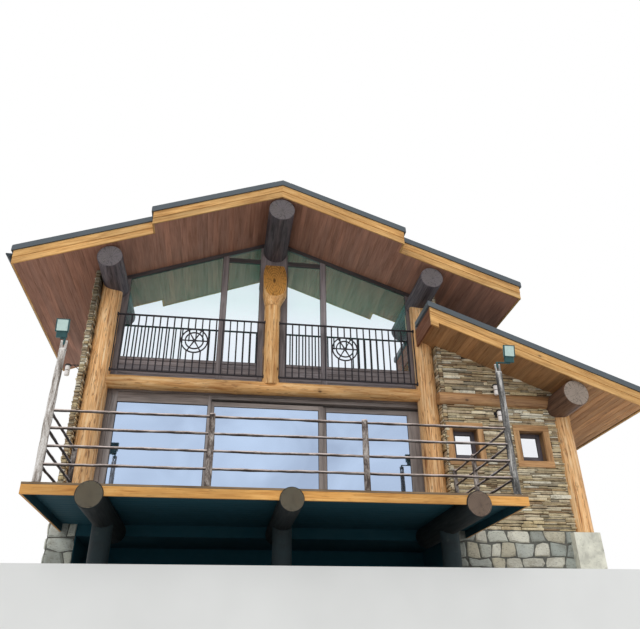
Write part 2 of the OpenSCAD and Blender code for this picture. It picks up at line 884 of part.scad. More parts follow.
module deck_side_rails() {
    color("#7c756c") {
        side_rails(rail_x0, left_end_y);
        rail_post(rail_x0, left_end_y, rail_h + rail_d);
        side_rails(rail_x1, right_end_rail_y);
        rail_post(rail_x1, right_mid_y, rail_h + rail_d);
        block(rail_x1 - rail_post / 2, rail_x1 + rail_post / 2,
              wall_y - rail_post - fit, wall_y - fit, 0, rail_h + rail_d);
    }
}

module lamp_posts() {
    color("#7c756c") for (x = [rail_x0, rail_x1]) {
        block(x - lamp_post / 2, x + lamp_post / 2, rail_y - lamp_post / 2, rail_y + lamp_post / 2, 0, lamp_post_h);
        block(x - foot_w / 2, x + foot_w / 2, rail_y - foot_w / 2, rail_y + foot_w / 2, 0, foot_t);
    }
}

// Floodlight heads, tipped toward the yard
head_w = 196;
head_h = 285;
head_d = 70;
head_tilt = 12;
head_side = [-54, 218];
neck_w = 36;
neck_h = 50;
arm_h = 20;
// The tipped head rests on the front edge of its arm
head_seat = (head_d - neck_w) / 2 * tan(head_tilt) + fit;
module floodlights() {
    color("#5f8f8c") for (i = [0, 1]) translate([[rail_x0, rail_x1][i], rail_y, lamp_post_h]) {
        block(-neck_w / 2, neck_w / 2, -neck_w / 2, neck_w / 2, 0, neck_h);
        block(min(0, head_side[i]) - neck_w / 2, max(0, head_side[i]) + neck_w / 2,
              -neck_w / 2, neck_w / 2, neck_h - arm_h, neck_h);
        translate([head_side[i], -head_d / 2, neck_h - head_seat]) rotate([head_tilt, 0, 0])
            block(-head_w / 2, head_w / 2, 0, head_d, 0, head_h);
    }
}

// Wall lanterns: two on the wing front and one on the left wall
lantern_out = [195, 195, 240];
lantern_d = 90;
lantern_h = 200;
lantern_z = [2750, 2210, 2880];
lantern_back = 170;
lantern_x = (wing_win_x[0] + wing_win_x[1]) / 2;
mount_w = 70;
mount_h = 150;
mount_t = 20;
arm_w = 24;
cap_h = 40;
cap_over = 15;

module lantern_mount(out) {
    block(-mount_w / 2, mount_w / 2, -mount_t, 0, cap_h - mount_h, cap_h);
    block(-arm_w / 2, arm_w / 2, -out, -mount_t, 0, arm_w);
    translate([0, -out, 0]) cylinder(h = cap_h, d = lantern_d + 2 * cap_over);
}

module lantern_body(out) {
    translate([0, -out, -lantern_h]) cylinder(h = lantern_h, d = lantern_d);
}

// Puts a lantern piece on its wall: 0 and 1 on the wing front, 2 on the left wall
module at_lantern(i) {
    if (i < 2) translate([lantern_x, wall_y, lantern_z[i]]) children();
    else translate([left_out_x, wall_y + lantern_back, lantern_z[i]]) rotate([0, 0, -90]) children();
}

module wall_lanterns() {
    color("#2b2b2b") for (i = [0 : 2]) at_lantern(i) lantern_mount(lantern_out[i]);
}

module lantern_glass() {
    color("#f4f2ea") for (i = [0 : 2]) at_lantern(i) lantern_body(lantern_out[i]);
}

// Roofs
main_x0 = ridge_x - eave_run;
main_x1 = ridge_x + eave_run;
step_x0 = ridge_x - verge_step_run;
step_x1 = ridge_x + verge_step_run;
upper_board = roof_t * (1 - upper_board_share);

module main_roof() {
    color("#7a4f34") {
        slab_y(outer_verge_y + board_t, rear_verge_y - board_t)
            main_band(main_x0 + board_t, main_x1 - board_t, 0, roof_t);
        slab_y(ridge_verge_y + board_t, outer_verge_y + 2 * board_t)
            main_band(step_x0 + board_t, step_x1 - board_t, 0, roof_t);
    }
}

// The lower board fills the whole height and the upper one is planted on its face
plant = 1;
module main_fascia() {
    color("#e0b060") {
        slab_y(ridge_verge_y, ridge_verge_y + board_t) main_band(step_x0, step_x1, -fascia_drop, roof_t);
        slab_y(ridge_verge_y - fascia_proud, ridge_verge_y + plant)
            main_band(step_x0, step_x1, upper_board, roof_t);
        for (s = [[main_x0, step_x0 + board_t], [step_x1 - board_t, main_x1]]) {
            slab_y(outer_verge_y, outer_verge_y + board_t) main_band(s[0], s[1], -fascia_drop, roof_t);
            slab_y(outer_verge_y - fascia_proud, outer_verge_y + plant)
                main_band(s[0], s[1], upper_board, roof_t);
        }
        for (s = [[step_x0, step_x0 + board_t], [step_x1 - board_t, step_x1]])
            slab_y(ridge_verge_y, outer_verge_y + board_t) main_band(s[0], s[1], -fascia_drop, roof_t);
        for (s = [[main_x0, main_x0 + board_t], [main_x1 - board_t, main_x1]])
            slab_y(outer_verge_y, rear_verge_y) main_band(s[0], s[1], -fascia_drop, roof_t);
        slab_y(rear_verge_y - board_t, rear_verge_y) main_band(main_x0, main_x1, -fascia_drop, roof_t);
    }
}

// Outline of the covering with the ridge cap folded over its crown
ridge_cap_run = 150;
ridge_cap_t = 16;
module cover_band(x0, x1) {
    lo = roof_t + fit;
    hi = roof_t + cover_t;
    cap0 = ridge_x - ridge_cap_run;
    cap1 = ridge_x + ridge_cap_run;
    polygon([
        [x0, main_soffit(x0) + lo], [ridge_x, ridge_z + lo], [x1, main_soffit(x1) + lo],
        [x1, main_soffit(x1) + hi], [cap1, main_soffit(cap1) + hi],
        [cap1, main_soffit(cap1) + hi + ridge_cap_t], [ridge_x, ridge_z + hi + ridge_cap_t],
        [cap0, main_soffit(cap0) + hi + ridge_cap_t], [cap0, main_soffit(cap0) + hi],
        [x0, main_soffit(x0) + hi]
    ]);
}

module main_covering() {
    color("#4a4d50") {
        slab_y(outer_verge_y - cover_out, rear_verge_y + cover_out)
            cover_band(main_x0 - cover_out, main_x1 + cover_out);
        slab_y(ridge_verge_y - cover_out, outer_verge_y)
            cover_band(step_x0 - cover_out, step_x1 + cover_out);
    }
}

// The wing roof is notched round the right post and dies into the bay's right wall
module wing_roof() {
    color("#8a6040") difference() {
        union() {
            slab_y(wing_verge_y + board_t, wall_y - fit)
                wing_band(wing_roof_x + board_t, wing_eave_x - board_t, 0, roof_t);
            slab_y(wall_y - 2 * board_t, post_y)
                wing_band(wing_roof_x + board_t, right_slot_x - fit, 0, roof_t);
            slab_y(wall_y - 2 * board_t, rear_verge_y - board_t)
                wing_band(right_out_x + fit, wing_eave_x - board_t, 0, roof_t);
        }
        post_cuts();
    }
}

wing_block_w = 150;
wing_block_drop = 120;
module wing_fascia() {
    color("#e0b060") difference() {
        union() {
            slab_y(wing_verge_y, wing_verge_y + board_t)
                wing_band(wing_roof_x, wing_eave_x, -fascia_drop, roof_t);
            slab_y(wing_verge_y - fascia_proud, wing_verge_y + plant)
                wing_band(wing_roof_x, wing_eave_x, upper_board, roof_t);
            slab_y(wing_verge_y - fascia_proud, wing_verge_y + board_t)
                wing_band(wing_roof_x, wing_roof_x + wing_block_w, -wing_block_drop, 0);
            slab_y(wing_verge_y, post_y)
                wing_band(wing_roof_x, wing_roof_x + board_t, -wing_block_drop, roof_t);
            slab_y(wing_verge_y, rear_verge_y)
                wing_band(wing_eave_x - board_t, wing_eave_x, -fascia_drop, roof_t);
            slab_y(rear_verge_y - board_t, rear_verge_y)
                wing_band(right_out_x + fit, wing_eave_x, -fascia_drop, roof_t);
        }
        post_cuts();
    }
}

module wing_covering() {
    color("#4a4d50") difference() {
        union() {
            slab_y(wing_verge_y - cover_out, wall_y - fit)
                wing_band(wing_roof_x - cover_out, wing_eave_x + cover_out, roof_t + fit, roof_t + cover_t);
            slab_y(wall_y - 2 * board_t, post_y)
                wing_band(wing_roof_x, right_slot_x - fit, roof_t + fit, roof_t + cover_t);
            slab_y(wall_y - 2 * board_t, rear_verge_y + cover_out)
                wing_band(right_out_x + fit, wing_eave_x + cover_out, roof_t + fit, roof_t + cover_t);
        }
        post_cuts();
    }
}

// Half-round gutters on the main roof's left eave and the wing's eave
gutter_drop = 60;
module gutter(x, z, side, y0, y1) {
    translate([x + side * (gutter_r + gutter_wall), 0, z - gutter_drop]) slab_y(y0, y1) {
        difference() {
            circle(r = gutter_r);
            circle(r = gutter_r - gutter_wall);
            translate([-gutter_r, 0]) square([2 * gutter_r, gutter_r]);
        }
        translate([side > 0 ? -gutter_r - gutter_wall : gutter_r - gutter_wall, -gutter_r / 2])
            square([2 * gutter_wall, gutter_r / 2]);
    }
    for (y = [y0, y1 - gutter_wall])
        translate([x + side * (gutter_r + gutter_wall), 0, z - gutter_drop])
            slab_y(y, y + gutter_wall) difference() {
                circle(r = gutter_r);
                translate([-gutter_r, 0]) square([2 * gutter_r, gutter_r]);
            }
}

module gutters() {
    color("#35383a") {
        gutter(main_x0, main_soffit(main_x0) + roof_t, -1, outer_verge_y, rear_verge_y);
        gutter(wing_eave_x, wing_soffit(wing_eave_x) + roof_t, 1, wing_verge_y, rear_verge_y);
    }
}

place() plinth();
place() post_pad();
place() ground_floor();
place() upper_floor();
place() left_wall();
place() right_wall();
place() rear_wall();
place() wing_front_wall();
place() wing_side_wall();
place() log_posts();
place() centre_post();
place() corbel();
place() lintel_log();
place() wing_beam();
place() ridge_purlin();
place() side_purlins();
place() wing_purlin();
place() deck_columns();
place() deck_logs();
place() deck_boards();
place() deck_edge();
place() lower_frame();
place() right_sash();
place() sliding_leaf();
place() leaf_glass();
place() lower_glass();
place() upper_frame();
place() upper_glass();
place() window_frames();
place() window_glass();
place() window_casings();
place() balcony_rails();
place() deck_front_rail();
place() deck_side_rails();
place() lamp_posts();
place() floodlights();
place() wall_lanterns();
place() lantern_glass();
place() main_roof();
place() wing_roof();
place() main_fascia();
place() wing_fascia();
place() main_covering();
place() wing_covering();
place() gutters();
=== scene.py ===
import math

import bpy
import numpy as np
from mathutils import Matrix, Vector


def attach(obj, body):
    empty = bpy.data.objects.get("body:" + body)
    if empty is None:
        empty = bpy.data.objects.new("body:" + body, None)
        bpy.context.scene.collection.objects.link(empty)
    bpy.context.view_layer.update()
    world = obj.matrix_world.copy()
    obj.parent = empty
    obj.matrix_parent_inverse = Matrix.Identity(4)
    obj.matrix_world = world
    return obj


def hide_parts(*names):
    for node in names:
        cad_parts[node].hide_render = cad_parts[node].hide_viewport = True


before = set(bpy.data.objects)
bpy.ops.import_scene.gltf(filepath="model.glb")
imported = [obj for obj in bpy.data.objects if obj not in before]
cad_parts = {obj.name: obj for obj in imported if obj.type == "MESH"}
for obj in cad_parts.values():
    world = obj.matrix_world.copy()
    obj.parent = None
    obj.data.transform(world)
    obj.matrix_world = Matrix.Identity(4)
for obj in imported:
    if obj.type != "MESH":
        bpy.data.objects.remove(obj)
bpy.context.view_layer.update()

# Lengths are in metres, laid out from the middle of the glazed bay (x), the deck's front edge (y)
# and the top of the deck (z). OFFSET moves them to the row frame.
OFFSET = np.array([-1.135, -3.31, 0.9])
HALF_BAY, WALL, WALL_Y, REAR_Y = 3.12, 0.45, 2.6, 6.25
LEFT_X, RIGHT_X, WING_X, WING_IN = -3.57, 3.48, 5.98, 5.53
UPPER_Z, GROUND = 2.72, -0.9
# Main roof: its ridge, both eaves, the two steps of its verge, and the front of each verge
RIDGE_X, RIDGE_Z, SLOPE, EAVE_RUN, STEP_RUN = 0.05, 6.294, 0.378, 4.95, 2.492
EAVE_L, EAVE_R, STEP_L, STEP_R = -4.9, 5.00, -2.442, 2.542
GABLE_Y, VERGE_Y, BACK_Y = 1.425, 1.727, 6.6
# Wing roof: its upper end, its eave, its verge, and the height of its soffit at the upper end
WING_TOP_X, WING_EAVE, WING_Y, WING_Z, WING_SLOPE = 3.03, 7.17, 1.73, 3.808, 0.3966
BOARD, ROOF, COVER = 0.032, 0.262, 0.1
# Posts, the slots where the walls meet them, and the plane of the glass
POST_Y, WING_POST_Y, LEFT_POST, RIGHT_POST, WING_POST, CENTRE_POST = 2.87, 2.65, -3.266, 3.185, 5.87, 0.01
LEFT_SLOT, RIGHT_SLOT = -3.4833, 3.3893
GLASS_Y = 3.02
EVEN = (1, 1, 1)


def main_z(x):
    """Height of the main roof's soffit."""
    return RIDGE_Z - SLOPE * abs(x - RIDGE_X)


def wing_z(x):
    """Height of the wing roof's soffit."""
    return WING_Z - WING_SLOPE * (x - WING_TOP_X)


# Meshes
def build(name, verts, faces, mats, index, smooth):
    """A mesh with its materials: index and smooth hold one value for each face."""
    me = bpy.data.meshes.new(name)
    me.from_pydata(verts, [], faces)
    me.polygons.foreach_set("material_index", np.asarray(index, np.int32))
    me.polygons.foreach_set("use_smooth", np.asarray(smooth, bool))
    for m in mats:
        me.materials.append(m)
    me.update()
    return me


def place(o, body, slot, *replaces):
    bpy.context.scene.collection.objects.link(o)
    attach(o, body)
    if replaces:
        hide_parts(*replaces)
    return o


def band(start, rows, seg):
    """Faces between rows rings of seg points each, the first point being number start."""
    faces = []
    for low in range(start, start + (rows - 1) * seg, seg):
        for j in range(seg):
            k = (j + 1) % seg
            faces.append([low + j, low + k, low + seg + k, low + seg + j])
    return faces


class Batch:
    """Boards and stones gathered into one mesh, each with its own tint and its own place in UV."""

    def __init__(self):
        self.v, self.f, self.uv, self.t, self.m = [], [], [], [], []
        self.n = 0

    def add(self, verts, faces, uvs, tint=EVEN, mat=0):
        self.v.append(np.asarray(verts, float))
        self.t.append(np.repeat([[*tint, 1.0]], len(verts), 0))
        for f, u in zip(faces, uvs):
            self.f.append([i + self.n for i in f])
            self.uv.extend(u)
            self.m.append(mat)
        self.n += len(verts)

    def add_closed(self, verts, faces, uvs, tint, mat):
        """A closed shape whose faces all turn one way: they are turned outwards if need be."""
        verts = np.asarray(verts, float)
        vol = 0.0
        c = verts.mean(0)
        for f in faces:
            a = verts[f[0]] - c
            for i in range(1, len(f) - 1):
                vol += np.dot(a, np.cross(verts[f[i]] - c, verts[f[i + 1]] - c))
        if vol < 0:
            faces = [f[::-1] for f in faces]
            uvs = [u[::-1] for u in uvs]
        self.add(verts, faces, uvs, tint, mat)

    def make(self, name, mats, slot, *replaces, body="house", smooth=False):
        verts = (np.vstack(self.v) + OFFSET).tolist()
        me = build(name, verts, self.f, mats, self.m, [smooth] * len(self.m))
        uv = me.uv_layers.new(name="UVMap")
        uv.data.foreach_set("uv", np.asarray(self.uv, np.float32).ravel())
        col = me.color_attributes.new("tint", "FLOAT_COLOR", "POINT")
        col.data.foreach_set("color", np.vstack(self.t).astype(np.float32).ravel())
        return place(bpy.data.objects.new(name, me), body, slot, *replaces)


rng = np.random.default_rng(11)


def shade(lo=0.88, hi=1.1, warm=0.03):
    """A tint drawn between two brightnesses, a little warmer or cooler."""
    s = rng.uniform(lo, hi)
    w = rng.uniform(-warm, warm)
    return (s * (1 + w), s, s * (1 - w))


def beam(b, qa, qb, c=0.004, tint=None, mat=0):
    """A board between two four-cornered ends, with its long edges chamfered."""
    qa, qb = np.asarray(qa, float), np.asarray(qb, float)
    sec = []
    for q in (qa, qb):
        s = []
        for i in range(4):
            p, a, n = q[i], q[i - 1], q[(i + 1) % 4]
            s.append(p + (a - p) / np.linalg.norm(a - p) * c)
            s.append(p + (n - p) / np.linalg.norm(n - p) * c)
        sec.append(s)
    ln = float(np.linalg.norm(qb.mean(0) - qa.mean(0)))
    uo, vo = rng.uniform(0, 40, 2)
    per = [0.0]
    for i in range(8):
        per.append(per[-1] + float(np.linalg.norm(sec[0][(i + 1) % 8] - sec[0][i])))
    vs = [vo + p for p in per]
    uvs = [[(uo, e), (uo, f), (uo + ln, f), (uo + ln, e)] for e, f in zip(vs[:-1], vs[1:])]
    faces = band(0, 2, 8)
    for k, s in enumerate(sec):
        idx = list(range(8 * k, 8 * k + 8))
        o = np.array(s[0])
        e1 = s[3] - o
        e1 = e1 / np.linalg.norm(e1)
        e2 = s[6] - o
        e2 = e2 - e1 * np.dot(e2, e1)
        e2 = e2 / max(np.linalg.norm(e2), 1e-9)
        cap = [(uo + 3 + 0.12 * float(np.dot(p - o, e1)), vo + float(np.dot(p - o, e2))) for p in s]
        if k == 0:
            idx, cap = idx[::-1], cap[::-1]
        faces.append(idx)
        uvs.append(cap)
    b.add_closed(sec[0] + sec[1], faces, uvs, tint or shade(), mat)


def bx(b, x0, x1, y0, y1, z0, z1, axis="x", c=0.004, tint=None, mat=0, turn=tuple):
    """A board that runs along one axis; turn moves its corners to their place."""
    lo, hi = (x0, y0, z0), (x1, y1, z1)
    k = "xyz".index(axis)
    u, v = [i for i in range(3) if i != k]
    ends = []
    for end in (lo, hi):
        corners = []
        for a, e in ((lo, lo), (hi, lo), (hi, hi), (lo, hi)):
            p = list(end)
            p[u], p[v] = a[u], e[v]
            corners.append(turn(p))
        ends.append(corners)
    beam(b, *ends, c, tint, mat)


def boards(b, y0, y1, rows, c=0.004, tint=None, mat=0, turn=tuple):
    """Boards between the same two depths, each given as (x0, x1, z0, z1, axis); tint may draw."""
    for x0, x1, z0, z1, axis in rows:
        bx(b, x0, x1, y0, y1, z0, z1, axis, c, tint() if callable(tint) else tint, mat, turn)


def run(b, fn, x0, x1, lo, hi, y0, y1, c=0.003, tint=None, mat=0):
    """A board that runs back from y0 to y1, its section following a roof from x0 to x1."""
    section = [(x0, fn(x0) + lo), (x1, fn(x1) + lo), (x1, fn(x1) + hi), (x0, fn(x0) + hi)]
    beam(b, *([(x, y, z) for x, z in section] for y in (y0, y1)), c, tint, mat)


def ramped(b, fn, x0, x1, lo, hi, y0, y1, c=0.003, tint=None, mat=0):
    """A board that follows a roof slope from x0 to x1, between two heights above its soffit."""
    ends = []
    for x in (x0, x1):
        z = fn(x)
        ends.append([(x, y0, z + lo), (x, y1, z + lo), (x, y1, z + hi), (x, y0, z + hi)])
    beam(b, *ends, c, tint, mat)


def tube(b, path, radii, seg=10, tint=EVEN, mat=0):
    """A closed tube along a path; radii is a number, or a function of the angle and the point."""
    path = np.asarray(path, float)
    n = len(path)
    tan = np.gradient(path, axis=0)
    tan /= np.linalg.norm(tan, axis=1)[:, None]
    ref = np.array([0, 0, 1.0]) if abs(tan[0][2]) < 0.9 else np.array([1.0, 0, 0])
    a = np.cross(tan, ref)
    a /= np.linalg.norm(a, axis=1)[:, None]
    c = np.cross(tan, a)
    th = np.linspace(0, 2 * math.pi, seg, endpoint=False)
    r = radii(th[None, :], np.arange(n)[:, None]) if callable(radii) else np.full((n, seg), radii)
    away = np.cos(th)[None, :, None] * a[:, None] + np.sin(th)[None, :, None] * c[:, None]
    verts = (path[:, None] + r[..., None] * away).reshape(-1, 3)
    u = [0.0]
    for p, q in zip(path[:-1], path[1:]):
        u.append(u[-1] + float(np.linalg.norm(q - p)))
    uo = rng.uniform(0, 40)
    uvs = []
    for i in range(n - 1):
        e, f = uo + u[i], uo + u[i + 1]
        uvs += [[(e, j / seg), (e, (j + 1) / seg), (f, (j + 1) / seg), (f, j / seg)] for j in range(seg)]
    faces = band(0, n, seg) + [list(range(seg))[::-1], list(range((n - 1) * seg, n * seg))]
    cap = [(uo, j / seg) for j in range(seg)]
    b.add_closed(verts, faces, uvs + [cap[::-1], cap], tint, mat)


def ring(b, c, r0, r1, y0, y1, seg=40):
    """A flat ring in the x-z plane."""
    verts, faces, uvs = [], [], []
    for i in range(seg):
        a = 2 * math.pi * i / seg
        verts += [(c[0] + r * math.cos(a), y, c[1] + r * math.sin(a)) for r in (r0, r1) for y in (y0, y1)]
        p, q = 4 * i, 4 * ((i + 1) % seg)
        u0, u1 = i * 0.03, i * 0.03 + 0.03
        for s, t in ((0, 2), (2, 3), (3, 1), (1, 0)):
            faces.append([p + s, p + t, q + t, q + s])
            uvs.append([(u0, 0), (u0, 0.02), (u1, 0.02), (u1, 0)])
    b.add_closed(verts, faces, uvs, EVEN, 0)


# Materials
class Nodes:
    """A node tree in the making, with short names for the nodes that the materials share."""

    def __init__(self, owner, out="OutputMaterial"):
        self.owner = owner
        owner.use_nodes = True
        self.t = owner.node_tree
        self.t.nodes.clear()
        self.out = self.n(out)

    def n(self, kind, inputs=(), **props):
        """A node, with its properties by keyword and its inputs by name or number."""
        x = self.t.nodes.new("ShaderNode" + kind)
        for key, val in props.items():
            setattr(x, key, val)
        for key, val in dict(inputs).items():
            self.put(x.inputs[key], val)
        return x

    def put(self, sock, val):
        if isinstance(val, bpy.types.NodeSocket):
            self.t.links.new(val, sock)
        elif val is not None:
            is_colour = hasattr(val, "__len__") and len(val) == 3 and len(sock.default_value) == 4
            sock.default_value = (*val, 1) if is_colour else val

    def coord(self, kind):
        if kind == "UV":
            return self.n("UVMap", uv_map="UVMap").outputs[0]
        return self.n("TexCoord").outputs[kind]

    def map(self, vec, scale, rot=(0, 0, 0)):
        return self.n("Mapping", {"Vector": vec, "Scale": scale, "Rotation": rot}).outputs[0]

    def noise(self, vec, scale=1.0, detail=4.0, rough=0.55, dist=0.0, out="Fac"):
        values = {"Vector": vec, "Scale": scale, "Detail": detail, "Roughness": rough, "Distortion": dist}
        return self.n("TexNoise", values).outputs[out]

    def warp(self, by, share, vec):
        """Coordinates moved by a share of a coloured noise."""
        return self.n("VectorMath", {0: by, 1: share, 2: vec}, operation="MULTIPLY_ADD").outputs[0]

    def math(self, op, a, b=None):
        return self.n("Math", {0: a, 1: b}, operation=op).outputs[0]

    def step(self, val, lo, hi, a=0.0, b=1.0):
        """Moves from a to b while val goes from lo to hi."""
        values = {"Value": val, "From Min": lo, "From Max": hi, "To Min": a, "To Max": b}
        return self.n("MapRange", values, clamp=True).outputs[0]

    def ramp(self, fac, stops):
        x = self.n("ValToRGB", {0: fac})
        r = x.color_ramp
        while len(r.elements) < len(stops):
            r.elements.new(0.5)
        for e, (p, c) in zip(r.elements, stops):
            e.position = p
            e.color = (*c, 1)
        return x.outputs[0]

    def mix(self, fac, a, b, mode="MIX"):
        return self.n("Mix", {0: fac, 6: a, 7: b}, data_type="RGBA", blend_type=mode).outputs[2]

    def axis(self, vec, i):
        return self.n("SeparateXYZ", {0: vec}).outputs[i]

    def facing_up(self):
        """From -1 on faces that look straight down to 1 on those that look straight up."""
        return self.axis(self.n("NewGeometry").outputs["Normal"], 2)

    def tinted(self, col):
        """The colour times each board's or stone's own tint."""
        return self.mix(1.0, col, self.n("VertexColor", layer_name="tint").outputs[0], "MULTIPLY")

    def bump(self, height, strength, dist):
        return self.n("Bump", {"Strength": strength, "Distance": dist, "Height": height}).outputs[0]

    def shader(self, fac, a, b):
        """Ends the tree with a mix of two shaders."""
        x = self.n("MixShader", {0: fac, 1: a.outputs[0], 2: b.outputs[0]})
        self.t.links.new(x.outputs[0], self.out.inputs[0])
        return self.owner


class Surface(Nodes):
    """A material with a Principled shader, which finish fills in."""

    def __init__(self, name):
        super().__init__(bpy.data.materials.new(name))
        self.bsdf = self.n("BsdfPrincipled")
        self.t.links.new(self.bsdf.outputs[0], self.out.inputs[0])

    def finish(self, color, rough, normal=None, metal=0.0):
        values = {"Base Color": color, "Roughness": rough, "Normal": normal, "Metallic": metal}
        for key, val in values.items():
            self.put(self.bsdf.inputs[key], val)
        return self.owner


def srgb(r, g, b):
    return tuple((c / 255 / 12.92) if c <= 10 else ((c / 255 + 0.055) / 1.055) ** 2.4 for c in (r, g, b))


def scaled(color, *factors):
    """A darker or lighter colour; a factor of its own for each channel if three are given."""
    if len(factors) == 1:
        factors = factors * 3
    return tuple(v * f for v, f in zip(color, factors))


def wood(name, dark, mid, light, kind="UV", rough=0.5, knots=0.5, bump=0.3, cracks=0.0, patch=0.25,
         flecks=0.0, soft=1.0, under=None, broad=15):
    """Long-grained wood in three sRGB tones: the grain runs along U on boards, along Z on logs.

    knots, cracks and flecks are shares of their colours, patch is how far the brightness wanders,
    soft widens the ramp of tones, broad packs the streaks, and under paints shade on what faces down.
    """
    k = Surface(name)
    c = k.coord(kind)
    dark, mid, light = (srgb(*tone) for tone in (dark, mid, light))

    def s(along, across):
        scale = (along, across, 1) if kind == "UV" else (across, across, along)
        return k.map(c, scale)
    streaks = k.noise(s(1.1, broad), 1.0, 5, 0.6, 0.7)
    fibres = k.noise(s(2.6, 70), 1.0, 4, 0.6, 0.2)
    patches = k.noise(s(0.5, 2.4), 1.0, 3, 0.5, 0.3)
    grain = k.math("ADD", k.math("MULTIPLY", streaks, 0.6), k.math("MULTIPLY", fibres, 0.4))
    col = k.ramp(grain, [(0.5 - 0.14 * soft, dark), (0.5, mid), (0.5 + 0.14 * soft, light)])
    if flecks:
        spot = k.noise(s(5, 26), 1.0, 3, 0.6)
        col = k.mix(k.step(spot, 0.58, 0.66, 0.0, flecks), col, scaled(dark, 0.55))
        pale = k.noise(s(2.4, 24), 1.0, 2, 0.5, 0.3)
        col = k.mix(k.step(pale, 0.56, 0.68, 0.0, flecks * 0.7), col, light)
    lift = k.step(patches, 0.35, 0.65, 1 - patch, 1 + patch * 0.6)
    col = k.n("VectorMath", {0: col, 3: lift}, operation="SCALE").outputs[0]
    height = grain
    if knots:
        warp = k.noise(s(3, 6), 1.0, 2, 0.5, 0.0, "Color")
        warped = k.warp(warp, (0.1, 0.1, 0.1), s(1.6, 2.7))
        away = k.n("TexVoronoi", {"Vector": warped, "Scale": 1.0}).outputs["Distance"]
        core = k.step(away, 0.03, 0.075, knots, 0.0)
        halo = k.step(away, 0.05, 0.2, knots * 0.6, 0.0)
        col = k.mix(halo, col, scaled(mid, 0.62))
        col = k.mix(core, col, scaled(dark, 0.28))
        height = k.math("ADD", height, k.math("MULTIPLY", halo, 0.8))
    if cracks:
        wander = k.noise(s(0.32, 7), 1.0, 3, 0.5, 0.15)
        line = k.math("ABSOLUTE", k.math("SUBTRACT", wander, 0.5))
        gate = k.step(k.noise(s(0.5, 1.5), 1.0, 2), 0.5, 0.6)
        crack = k.math("MULTIPLY", k.step(line, 0.0, 0.006, cracks, 0.0), gate)
        col = k.mix(crack, col, scaled(dark, 0.2))
        height = k.math("SUBTRACT", height, k.math("MULTIPLY", crack, 1.5))
    if kind == "UV":
        col = k.tinted(col)
    # Painted shade on faces that look down
    if under:
        col = k.mix(k.step(k.facing_up(), -0.7, -0.5, 1.0, 0.0), col, under)
    worn = k.step(grain, 0.35, 0.65, min(1, rough + 0.12), rough - 0.08)
    return k.finish(col, worn, k.bump(height, bump, 0.004))


def peeled(name, dark, mid, light, rough, knots, flecks, bump=0.4, cracks=0.8, patch=0.3, broad=15):
    """The wood of a peeled log."""
    return wood(name, dark, mid, light, "Object", rough, knots, bump, cracks, patch, flecks, broad=broad)


def endgrain(name, dark, mid, light, pith=0.25, rough=0.75, rings=46.0):
    """Sawn end of a log in three sRGB tones: rings round its own Z axis, a pith and radial checks."""
    k = Surface(name)
    c = k.coord("Object")
    dark, mid, light = (srgb(*tone) for tone in (dark, mid, light))
    warp = k.noise(c, 3.0, 3, 0.5, 0.0, "Color")
    warped = k.warp(warp, (0.035, 0.035, 0), k.map(c, (1, 1, 0)))
    away = k.n("VectorMath", {0: warped}, operation="LENGTH").outputs["Value"]
    wave = k.step(k.math("SINE", k.math("MULTIPLY", away, rings * 6.283)), -1, 1)
    col = k.mix(wave, dark, light)
    col = k.mix(k.step(k.noise(c, 6, 4), 0.35, 0.7), col, mid)
    sep = k.n("SeparateXYZ", {0: warped}).outputs
    angle = k.math("ARCTAN2", sep[1], sep[0])
    polar = k.n("CombineXYZ", {0: k.math("MULTIPLY", angle, 2.1), 1: k.math("MULTIPLY", away, 1.5)})
    wander = k.noise(polar.outputs[0], 1.5, 3, 0.6)
    check = k.step(k.math("ABSOLUTE", k.math("SUBTRACT", wander, 0.5)), 0.0, 0.02, 0.75, 0.0)
    col = k.mix(check, col, scaled(dark, 0.25))
    col = k.mix(k.step(away, 0.01, 0.035, pith, 0.0), col, scaled(dark, 0.2))
    height = k.math("SUBTRACT", k.math("MULTIPLY", wave, 0.3), check)
    return k.finish(col, rough, k.bump(height, 0.35, 0.003))


def stone(name, dark=0.55, bump=0.6, scale=1.0):
    """Split stone whose colour comes from each stone's own tint."""
    k = Surface(name)
    c = k.coord("Object")
    cloud = k.noise(c, 9 * scale, 6, 0.65)
    layers = k.noise(k.map(c, (1, 1, 3.2)), 34 * scale, 5, 0.6)
    grains = k.noise(c, 150 * scale, 3, 0.6)
    tones = [(0.3, scaled((dark,) * 3, 1, 0.96, 0.9)), (0.52, EVEN), (0.75, (1.12, 1.1, 1.05))]
    col = k.tinted(k.ramp(cloud, tones))
    col = k.mix(k.step(layers, 0.42, 0.34, 0.0, 0.6), col, (0.1, 0.075, 0.05))
    col = k.mix(k.step(grains, 0.62, 0.75, 0.0, 0.35), col, (0.75, 0.72, 0.66))
    height = k.math("ADD", layers, k.math("MULTIPLY", grains, 0.25))
    return k.finish(col, k.step(cloud, 0.3, 0.7, 0.95, 0.75), k.bump(height, bump, 0.012))


